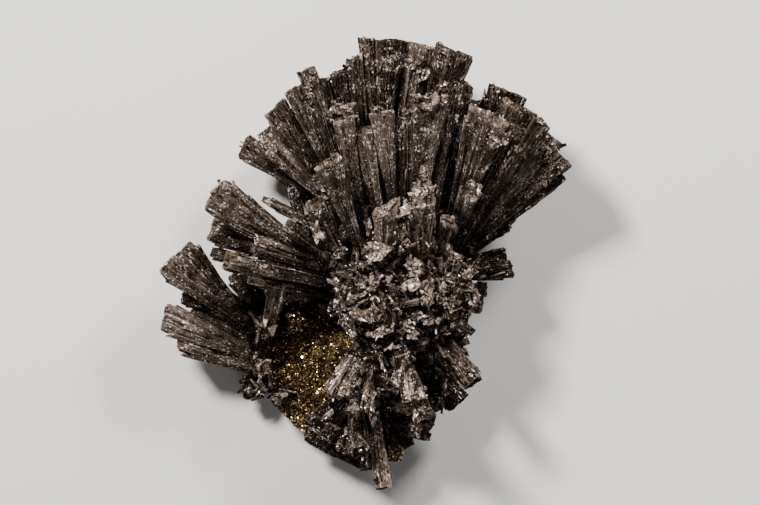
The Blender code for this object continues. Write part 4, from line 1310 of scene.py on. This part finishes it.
# Each granular edge is the half width of its band and the line it follows.
GRANULAR_EDGES = [
    (0.52, [(9.4, 32.2), (11.4, 33.4), (13.8, 34.6)]),
    (0.44, [(3, 40.2), (4.6, 41), (6.2, 41.4), (8.8, 41.6)]),
    (0.36, [(3.4, 39.4), (5.8, 39), (7.8, 39.8)]),
    (0.24, [(12.6, 43.3), (14.4, 44.2), (16.6, 43.7), (18.6, 42.8), (21, 41.5)]),
    (0.24, [(13.4, 42.6), (15.2, 43), (17, 42), (18.6, 41), (20.2, 40.8)]),
    (0.24, [(7.8, 44.6), (9.8, 44.3), (12.6, 43.8)]),
    (0.24, [(-1.6, 45), (1.4, 45.4), (5, 45.3), (7.8, 45)]),
    (0.4, [(21, 32.6), (22.6, 31.4), (24.4, 30.4), (26.2, 29.4)]),
    (0.18, [(23, 33.4), (24.2, 33.1), (25.6, 32.8)]),
    (0.18, [(22.8, 32.4), (24.2, 32.1), (25.8, 31.8)]),
    (0.2, [(24.8, 35.4), (27, 35.2), (29.4, 34.2), (31.8, 32.6)]),
    (0.24, [(26.2, 29.4), (28.2, 28.6), (31, 27.4), (33, 26.2)]),
    (0.2, [(27, 32), (29, 31.4), (31.4, 30.4), (33.6, 29)]),
    (0.5, [(36, 25.8), (37.4, 23.8), (39, 22.6)]),
    (0.64, [(34, 21), (36.2, 22.2), (38.6, 23)]),
    (0.5, [(35.4, 17.4), (37.4, 19), (39, 20.6)]),
    (0.28, [(39.4, 16.8), (41, 17.4)]),
    (1, [(34.6, 16.6), (36.4, 17.2), (38.2, 18)]),
    (0.8, [(35, 20.8), (37.4, 20.6), (39.4, 19.2)]),
    (0.72, [(23.2, 18.6), (24.6, 19.6), (25.8, 20.4)]),
    (0.4, [(21.8, 17), (21, 15)]),
    (0.18, [(-9.6, 18.8), (-8.4, 20), (-6.3, 20.9)]),
    (0.32, [(-8.6, 14.4), (-7.8, 12.8), (-7.2, 11.4)]),
    (0.16, [(-13, 7.2), (-11.2, 8.4), (-10.5, 7.5)]),
    (0.14, [(4.6, 17.7), (4, 15), (3.4, 12)]),
    (0.14, [(4.6, 17.7), (5.4, 16), (6.1, 14.3)]),
    (0.26, [(-5, -3), (-2, -2.6), (-0.8, -2.8), (0.6, -2)]),
    (0.22, [(0.8, -5.4), (1.6, -7), (1.8, -8.2)]),
    (0.72, [(14.6, -5), (17, -3.8), (19.4, -2)]),
    (0.48, [(17, -6.2), (19, -5)]),
    (0.24, [(18.6, -2.6), (19.8, -1.6), (21, -0.5)]),
    (0.2, [(19.9, -5.7), (21.3, -4.4)]),
    (0.6, [(-12, 35.4), (-11.4, 33.8), (-10.8, 31.8), (-10, 30.2)]),
    (0.55, [(-20.6, 25), (-19.4, 23.4), (-17.8, 21.4), (-16.4, 19.4)]),
    (0.36, [(-25, 23.4), (-23.8, 24.2), (-21.8, 24.6)]),
    (0.5, [(-9.4, 39), (-10.6, 37.4), (-11.8, 35.4)]),
    (0.5, [(-8.6, 37.4), (-6.2, 38), (-3.8, 38.6)]),
    (0.4, [(-4, 39.4), (-2.6, 41), (-1.4, 42.6)]),
    (0.52, [(-7, 33.6), (-5.4, 31.8), (-3, 30.6)]),
    (0.4, [(-6.2, 30.6), (-4, 29.4), (-1.8, 29)]),
    (0.32, [(-7, 29), (-5, 28.2)]),
    (0.36, [(1.4, 32.2), (2.6, 30.4), (3.8, 29.6)]),
    (0.24, [(2.2, 29.6), (4.6, 31), (6.6, 30.2)]),
    (0.24, [(7.8, 29.6), (9, 30.2)]),
    (0.44, [(-31, 13.8), (-29.8, 15.4), (-27.8, 16.2), (-25.8, 15.4)]),
    (0.24, [(-25.8, 15), (-23.8, 13.4), (-21.8, 11.4), (-19, 8.6)]),
    (0.28, [(-31, 9.8), (-28.2, 8.6), (-25, 7), (-22.2, 5.4)]),
    (0.24, [(-20.6, 13), (-18.6, 12.2), (-16.6, 11.4)]),
    (0.28, [(-16.8, 6.6), (-15, 7.4), (-13, 5.8)]),
    (0.32, [(-22.4, 0.6), (-22, 3.4), (-21, 5.4)]),
    (0.24, [(-20.6, 5.8), (-18, 6.2), (-15, 4.2)]),
    (0.24, [(-39.6, 0.6), (-37.8, 3), (-35, 4.4), (-32.6, 3.6)]),
    (0.24, [(-32.4, 0.6), (-31, -2.2)]),
    (0.28, [(-41, -9.4), (-38.6, -9), (-35, -9.4)]),
    (0.2, [(-40, -13), (-37, -15), (-33.4, -17)]),
    (0.48, [(-22.2, -18.2), (-20.6, -19.4), (-19.4, -21.8)]),
    (0.7, [(-25, -25), (-22.4, -25.6), (-19.4, -26.4)]),
    (1.2, [(-11.4, -32.4), (-7.6, -35), (-3.4, -37.6)]),
    (1, [(-9, -30.4), (-5.6, -33.4), (-2.4, -35.4)]),
    (0.2, [(-17, 1.4), (-14.6, 0.6), (-12.2, -0.6)]),
    (0.36, [(-6.2, -26.6), (-4.6, -27.4)]),
    (0.36, [(-9.4, -30.6), (-7.8, -31.8)]),
    (0.28, [(-3, -33), (-0.6, -34.6), (0.6, -36.2)]),
    (0.24, [(3.8, -45), (5.4, -44.2)]),
    (0.2, [(15, -24), (19.4, -24.6), (22.6, -23.8)]),
    (0.2, [(18.6, -16.6), (20.6, -19.4), (22.8, -22.4)]),
    (0.32, [(7.8, -25.4), (9.8, -26.2), (11.8, -25.8)]),
    (0.24, [(-7, -25), (-5, -25.8)]),
    (0.24, [(-8, 3.5), (-6.4, 3.5)]),
    (0.2, [(-2.2, 2.8), (-1.6, 2.2)]),
    (0.28, [(-1, -0.4), (-0.2, 0)]),
    (0.36, [(6.2, -14), (7.8, -16), (9, -17.4)]),
    (0.24, [(4.6, 0.6), (5.4, -0.2)]),
    (0.32, [(16.6, 0.6), (18.2, -0.2)]),
    (0.24, [(20.2, 1), (21.6, 1.6)]),
    (0.6, [(20.4, -4.8), (22.8, -5.4), (23.4, -7.4), (21.4, -9.4)]),
    (0.7, [(8.6, 11.8), (10.8, 13.8), (12.8, 14.2)]),
    (0.5, [(11.4, 14.8), (11.6, 18.8)]),
    (0.2, [(24.2, 5.8), (24.6, 5.2)]),
    (0.2, [(25.9, 7), (26.2, 6.2)]),
    (0.2, [(27, 7.8), (27.4, 7)]),
    (0.2, [(28.6, 9), (29.2, 8.2)]),
]


def strewn(line, half, per_mm, least, rng):
    """Random spots in a band along a line, closest together at its middle."""
    for (ax, ay), (bx, by) in zip(line, line[1:]):
        length = math.hypot(bx - ax, by - ay)
        for _ in range(round(per_mm * length + least)):
            share = rng.random()
            off = rng.gauss(0.0, 0.5) * half
            x = ax + (bx - ax) * share - (by - ay) / length * off
            y = ay + (by - ay) * share + (bx - ax) / length * off
            yield x, y


def chip_points():
    """Short crystals lying in the wider bands."""
    ground = surface_of(crystals)
    rng = random.Random(61)
    points = []
    for half, line in GRANULAR_EDGES:
        if half < LEAST_CHIPPED:
            continue
        for x, y in strewn(line, half, CHIPS_PER_MM, 0.5, rng):
            hit = highest(ground, x, y)
            if not hit or hit.z < 3.0:
                continue
            axis = Vector((rng.gauss(0, 1), rng.gauss(0, 1), rng.uniform(-0.2, 0.6))).normalized()
            length = rng.uniform(0.8, 2.2)
            width = rng.uniform(0.4, 1.3)
            tip = hit + axis * length * rng.uniform(0.15, 0.45)
            thick = width * rng.uniform(0.25, 0.7)
            points.append(stub_point(tip, axis, width, thick, length, rng, rng.uniform(-0.3, 0.9), 0.8))
    return points


hand_over(grow("edge_chips", chip_points(), sheaves, CRISP))

# ---------------------------------------------------------------------------------------------------------
# Crossing crystals: the single enargite crystals that lie across the others in the lower sprays, round the
# crown and over the foot of the hollow.
# ---------------------------------------------------------------------------------------------------------
# Each is its foot and its end in plan, its width, and its tone.
CROSSING_CRYSTALS = [
    (-2.5, -18.2, -6.9, -24.8, 1.2, 1.3), (-2, -20.6, -4.9, -25.9, 1.5, 1.1),
    (1, -22, -0.1, -26.8, 1.2, 0.8), (1.6, -24, 1.4, -28.9, 1, 0.6), (-3.4, -17.2, 1.6, -17.9, 1.4, 0.2),
    (2.1, -22.6, 6.6, -24.6, 2.8, 0.25), (8, -21, 8.5, -26.4, 1.1, 1), (9.1, -21.1, 9.2, -25.6, 0.8, 0.7),
    (10, -22.3, 9.1, -24.9, 0.7, 1), (10.6, -24, 11.3, -26, 1.1, 1.5), (7.4, -23.3, 8.1, -25.6, 0.8, 0.8),
    (7.9, -18.5, 7.4, -20.5, 1, 1.4), (8.7, -17.6, 9.9, -18.8, 0.8, 1.2),
    (11.1, -20.6, 12.2, -21.5, 0.7, 1.4), (13.2, -14.5, 13.3, -19.8, 0.9, 0.8),
    (13.9, -15, 15.9, -18.3, 0.7, 0.9), (2.9, -28.9, 9.6, -29.3, 1.2, 0.25),
    (9.7, -28.4, 8.6, -30.1, 0.7, 0.9), (4.1, -31.8, 9.1, -32.4, 1, 0.6), (4.9, -33.2, 13.1, -34.6, 2, 0.3),
    (4.6, -30.9, 13.2, -32.7, 2, 0.25), (-1.5, -33.6, 0.7, -36.7, 1, 1.5),
    (-2.9, -33.7, -0.7, -37.1, 1.2, 0.9), (-3.7, -32.6, -3.9, -34.2, 0.8, 1.4),
    (-4.9, -36.7, 0.3, -38, 1.5, 0.5), (-6.7, -26.3, -7.5, -28.6, 1, 1.1),
    (-9, -31.2, -6.5, -29.4, 1.3, 1.2), (-6, -21.6, -7.8, -24, 1.2, 0.9),
    (-3.4, -26.3, -1.4, -27.4, 0.7, 0.6), (3.6, -34.7, 6.6, -35.4, 0.8, 0.7),
    (7.6, -34.7, 8.1, -39.9, 0.6, 0.6), (10.7, -27.3, 13.2, -32.2, 1, 0.4),
    (9.9, -27.6, 12.1, -31.9, 1, 0.3), (0.6, -19.3, -1.5, -19.8, 0.7, 1), (4, -1, 6.8, 1.4, 0.8, 1.2),
    (7.2, -7.9, 10.6, -7.2, 1.4, 0.8), (5.9, -7.5, 7.1, -8.2, 0.7, 1.6), (8.8, 3.8, 10.6, 4.3, 0.6, 1.3),
    (4.8, -7, 5.9, -11, 1.1, 0.6), (1.7, -5.4, 1.9, -8.3, 0.5, 1.3), (2.6, -5.6, 2.9, -8.2, 0.6, 0.8),
    (13.2, -8.2, 15.8, -6.9, 1, 0.7), (15.8, -8.4, 16.2, -10.5, 1.3, 0.6),
    (16.5, -7.6, 16.9, -8.9, 0.4, 1.5), (-1.5, 3.5, -1.5, 0, 0.7, 0.7), (6.2, 1.7, 6.4, 5.6, 0.4, 0.6),
    (9.2, -11.7, 9.9, -12.8, 0.6, 1.4), (-3, -2.3, -2, -2.6, 0.4, 1.4), (-0.8, 0, -0.2, -0.5, 0.5, 1.5),
    (-2.2, 2.7, -1.6, 2.2, 0.5, 1.5), (6.5, -0.8, 7.2, -1.5, 0.6, 1.7), (7.4, -3.1, 8.5, -2.1, 0.7, 1.6),
    (12.6, -1.2, 13.3, -1.9, 0.6, 1.4), (19.7, -5.9, 21.6, -4.2, 0.6, 1.6), (21, -3, 21.5, -4.2, 0.5, 1.3),
    (18.1, -2.8, 20.9, -0.9, 0.8, 1.2), (22.8, -2.8, 24.2, -2.1, 0.8, 1.2),
    (21.3, 1.8, 21.4, 3.6, 0.8, 1.1), (20.3, 0.8, 21.1, 1.1, 0.6, 1.4), (13.4, -8.2, 15.7, -7, 0.8, 0.7),
    (16.2, -7.5, 16.8, -8.7, 0.5, 1.4), (15.4, -9.1, 16.1, -10.3, 1.3, 0.7),
    (21.7, -5.1, 22.5, -6.3, 0.8, 0.8), (20.2, -8.3, 22.3, -8, 0.5, 1), (24.4, -8.2, 24.5, -7.3, 0.4, 1.2),
    (25.2, -2.3, 28, -1.4, 0.4, 1.2), (24.2, 6.2, 24.6, 5.2, 0.4, 1.5), (26.1, 7, 26.3, 6.2, 0.4, 1.5),
    (24.8, -3.4, 26.5, -3, 0.6, 0.8), (-17.7, -23.8, -18.3, -26.6, 1.5, 0.3),
    (-19.4, -21.2, -19.1, -24.4, 0.8, 0.7), (-16, -27.4, -12.4, -25.8, 0.8, 0.6),
    (-8.2, -24, -6.1, -21.3, 1.3, 0.8), (-21.4, -22.3, -20.4, -24.4, 0.5, 0.8),
]


def crossing_points():
    """Each crystal laid on what is beneath its foot and its end."""
    ground = surface_of(crystals)
    rng = random.Random(89)
    points = []
    for foot_x, foot_y, end_x, end_y, width, tone in CROSSING_CRYSTALS:
        marks = []
        for share in (0.1, 0.9):
            hit = highest(ground, foot_x + (end_x - foot_x) * share, foot_y + (end_y - foot_y) * share)
            if hit:
                marks.append(hit.z)
        if len(marks) < 2:
            continue
        reach = math.hypot(end_x - foot_x, end_y - foot_y)
        middle = max(sum(marks) / 2, max(marks) - 1.5)
        rise = max(-0.5, min(0.5, (marks[1] - marks[0]) / reach)) * reach / 2
        foot = Vector((foot_x, foot_y, middle - rise + 0.2))
        tip = Vector((end_x, end_y, middle + rise + 0.2))
        axis = (tip - foot).normalized()
        thick = max(0.5, min(2.0, width * 0.7))
        point = stub_point(tip, axis, width, thick, (tip - foot).length, rng, 0.85 * tone - 0.1)
        point["shape"] = rng.randrange(SHEAVES) if width > 1.6 else SHEAVES + rng.randrange(LATHS)
        point["foot"] = rng.uniform(0.7, 0.9)
        points.append(point)
    return points


hand_over(grow("crossing_crystals", crossing_points(), sheaves, CRISP))
drop_kit(shapes)

# ---------------------------------------------------------------------------------------------------------
# Small grains: broken enargite crystals well under a millimetre, dense along the granular edges and the
# flat ends and thin everywhere else. They give the specimen its sparkle.
# ---------------------------------------------------------------------------------------------------------
GRAIN_SHAPES = 8
EDGE_GRAINS_PER_MM2 = 7.0
END_GRAINS_PER_MM2 = 3.0
LOOSE_GRAINS = 5000


def grain_mesh(seed):
    """A small blocky broken crystal one unit across."""
    rng = random.Random(500 + seed)
    bm = bmesh.new()
    for _ in range(7):
        spot = Vector((rng.gauss(0, 1), rng.gauss(0, 1), rng.gauss(0, 1))).normalized() * 0.5
        bm.verts.new((spot.x, spot.y * rng.uniform(0.6, 0.9), spot.z * rng.uniform(0.5, 1.2)))
    hull = bmesh.ops.convex_hull(bm, input=bm.verts)
    inner = [item for item in hull["geom_interior"] if isinstance(item, bmesh.types.BMVert)]
    bmesh.ops.delete(bm, geom=inner, context="VERTS")
    layer = bm.loops.layers.uv.new("striae")
    for face in bm.faces:
        for loop in face.loops:
            loop[layer].uv = (loop.vert.co.x, loop.vert.co.y + seed)
    return mesh_of(bm, f"grain_{seed}")


def grain_tree():
    """Grains of random turn on points that carry place, grade and tone."""
    tree, given, read = new_tree(
        "scattered_grains",
        {"Shapes": "Collection", "Kinds": "Int", "Material": "Material"},
        {"FLOAT_VECTOR": ("place",), "FLOAT": ("grade",)},
    )
    moved = add_node(
        tree, "GeometryNodeSetPosition", links={"Geometry": given["Geometry"], "Position": read["place"]}
    )
    last = add_node(tree, MATH, given["Kinds"], 1.0, operation="SUBTRACT")
    kind = add_node(tree, "FunctionNodeRandomValue", links={4: 0, 5: last, "Seed": 7}, data_type="INT")
    turn = add_node(
        tree, "FunctionNodeRandomValue", (0.0, 0.0, 0.0), (math.tau,) * 3, links={"Seed": 3},
        data_type="FLOAT_VECTOR",
    )
    placed = picked(tree, given["Shapes"], moved, kind, Rotation=turn, Scale=read["grade"])
    return close_tree(tree, placed, given["Material"])


def grain_points():
    """Where the grains sit: dropped from above on edges and flat ends, and from all sides elsewhere."""
    ground = surface_of(crystals)
    rng = random.Random(77)
    points = []

    def settle(origin, direction, low, high, tone):
        hit, normal, _, _ = ground.ray_cast(origin, direction)
        if hit and hit.z > 0.8:
            grade = rng.uniform(low, high)
            place = (hit + normal * grade * 0.12) * MM
            points.append({"place": place, "grade": grade * MM, "tone": tone, "end": 1.0})

    for half, line in GRANULAR_EDGES:
        for x, y in strewn(line, half, EDGE_GRAINS_PER_MM2 * 2 * half, 1.5, rng):
            settle(Vector((x, y, ABOVE_ALL)), DOWN, 0.18, 0.55, rng.uniform(0.2, 1.3))
    for _, _, rim in ENDS:
        for x, y in scattered(rim, END_GRAINS_PER_MM2, rng):
            settle(Vector((x, y, ABOVE_ALL)), DOWN, 0.15, 0.4, rng.uniform(0.2, 1.1))
    for _ in range(LOOSE_GRAINS):
        aim = Vector((rng.uniform(-36, 36), rng.uniform(-42, 42), rng.uniform(5, 28)))
        away = Vector((rng.gauss(0, 1), rng.gauss(0, 1), abs(rng.gauss(0, 1)) + 0.3)).normalized()
        settle(aim + away * 150.0, -away, 0.12, 0.36, rng.uniform(0.2, 1.3))
    return points


grain_kit = shape_kit("grain", [grain_mesh(k) for k in range(GRAIN_SHAPES)])
grains = grain_tree()
GRIT = {"Shapes": grain_kit, "Kinds": GRAIN_SHAPES, "Material": enargite}
hand_over(grow("bright_grains", grain_points(), grains, GRIT))
drop_kit(grain_kit)

# ---------------------------------------------------------------------------------------------------------
# Pyrite: a druse of brassy cubes, plain and with bevelled edges, 0.2 to 0.5 mm, grown over the floor of the
# hollow, and a small patch of the same near the lower tip.
# ---------------------------------------------------------------------------------------------------------
HOLLOW_FLOOR = 7.5
JOINT_GAP = 0.3
CRUST_DEPTH = 1.3
HOLLOW_RIM = [
    (-17.4, -11.0), (-12.5, -7.6), (-5.0, -8.0), (-0.6, -13.0), (-0.8, -19.0), (-4.0, -24.0), (-6.4, -29.0),
    (-10.6, -34.6), (-13.8, -33.2), (-17.8, -29.0), (-19.4, -23.0), (-18.6, -17.0),
]
# Each dip of the floor is its middle, its depth and its reach.
FLOOR_DIPS = [(-8.0, -9.5, 3.0, 6.0), (-17.0, -34.0, 4.0, 5.5)]
PATCH_RIM = [(4.6, -36.4), (6.6, -36.0), (7.8, -37.0), (7.4, -39.4), (5.8, -39.7), (4.8, -39.0)]
PATCH_FLOOR = 11.0
CUBE_SHAPES = 4
CUBES_PER_MM2 = 9.0
CUBE_WIDTHS = (0.22, 0.48)
PYRITE_COLOURS = [(0.1, "#30251a"), (1.0, "#dfc084")]


def pyrite_material():
    """Pyrite: pale brass-yellow metal with a bright lustre, tarnished brown here and there, each grain its
    own shade."""
    material, tree, shader = new_material("pyrite_druse")
    tone = add_node(tree, "ShaderNodeAttribute", attribute_name="tone").outputs["Fac"]
    tree.links.new(colour_ramp(tree, tone, PYRITE_COLOURS), shader.inputs["Base Color"])
    rough = add_node(tree, "ShaderNodeMapRange", tone, links={"To Min": 0.45, "To Max": 0.2})
    tree.links.new(rough.outputs["Result"], shader.inputs["Roughness"])
    shader.inputs["Metallic"].default_value = 1.0
    return material


pyrite = pyrite_material()


def floor_height(x, y):
    """The hollow's floor dips in the pit under the bundles and falls away at the open edge."""
    height = HOLLOW_FLOOR
    for dip_x, dip_y, depth, reach in FLOOR_DIPS:
        height -= depth * math.exp(-((x - dip_x) ** 2 + (y - dip_y) ** 2) / reach**2)
    return height


def add_hollow_floor():
    """Massive enargite under the druse, down to the cut back."""
    bm = plate_layers()
    add_plate(bm, HOLLOW_RIM, 1.5, floor_height, lambda x, y: 0.05, 4, 0.1)
    hand_over(make_object("hollow_floor", mesh_of(bm, "hollow_floor"), enargite))


def cube_mesh(seed):
    """A pyrite crystal one unit across: a cube, or one with bevelled edges."""
    bm = bmesh.new()
    bmesh.ops.create_cube(bm, size=0.8)
    if seed % 2:
        bmesh.ops.bevel(bm, geom=bm.edges[:], offset=0.16, segments=1, affect="EDGES")
    return mesh_of(bm, f"cube_{seed}")


def add_crust(name, node, rim, floor, seed, bed_spacing):
    """The uneven bed of a crust, with close-set cubes standing on it."""

    def bed(x, y):
        swell = 0.45 * noise.noise(Vector((x * 0.5, y * 0.5, seed)))
        return floor(x, y) + JOINT_GAP + CRUST_DEPTH - 0.2 + swell

    bm = plate_layers()
    add_plate(bm, rim, bed_spacing, bed, lambda x, y: floor(x, y) + JOINT_GAP, seed, 0.05)
    bed_mesh = mesh_of(bm, f"{name}_bed")
    rng = random.Random(seed)
    points = []
    for x, y in scattered(rim, CUBES_PER_MM2, rng):
        grade = rng.uniform(*CUBE_WIDTHS) * MM
        z = bed(x, y) + rng.uniform(0.0, 0.25)
        points.append({"place": Vector((x, y, z)) * MM, "grade": grade, "tone": rng.random()})
    cubes = shape_kit("cube", [cube_mesh(k) for k in range(CUBE_SHAPES)])
    piece = grow(name, points, grains, {"Shapes": cubes, "Kinds": CUBE_SHAPES, "Material": pyrite})
    drop_kit(cubes)
    joined = bmesh.new()
    joined.from_mesh(piece.data)
    joined.from_mesh(bed_mesh)
    joined.to_mesh(piece.data)
    joined.free()
    tie(piece, node)


add_hollow_floor()
add_crust("pyrite_grains", "pyrite_druse", HOLLOW_RIM, floor_height, 7, 0.8)
add_crust("pyrite_patch_grains", "pyrite_patch", PATCH_RIM, lambda x, y: PATCH_FLOOR, 8, 0.6)
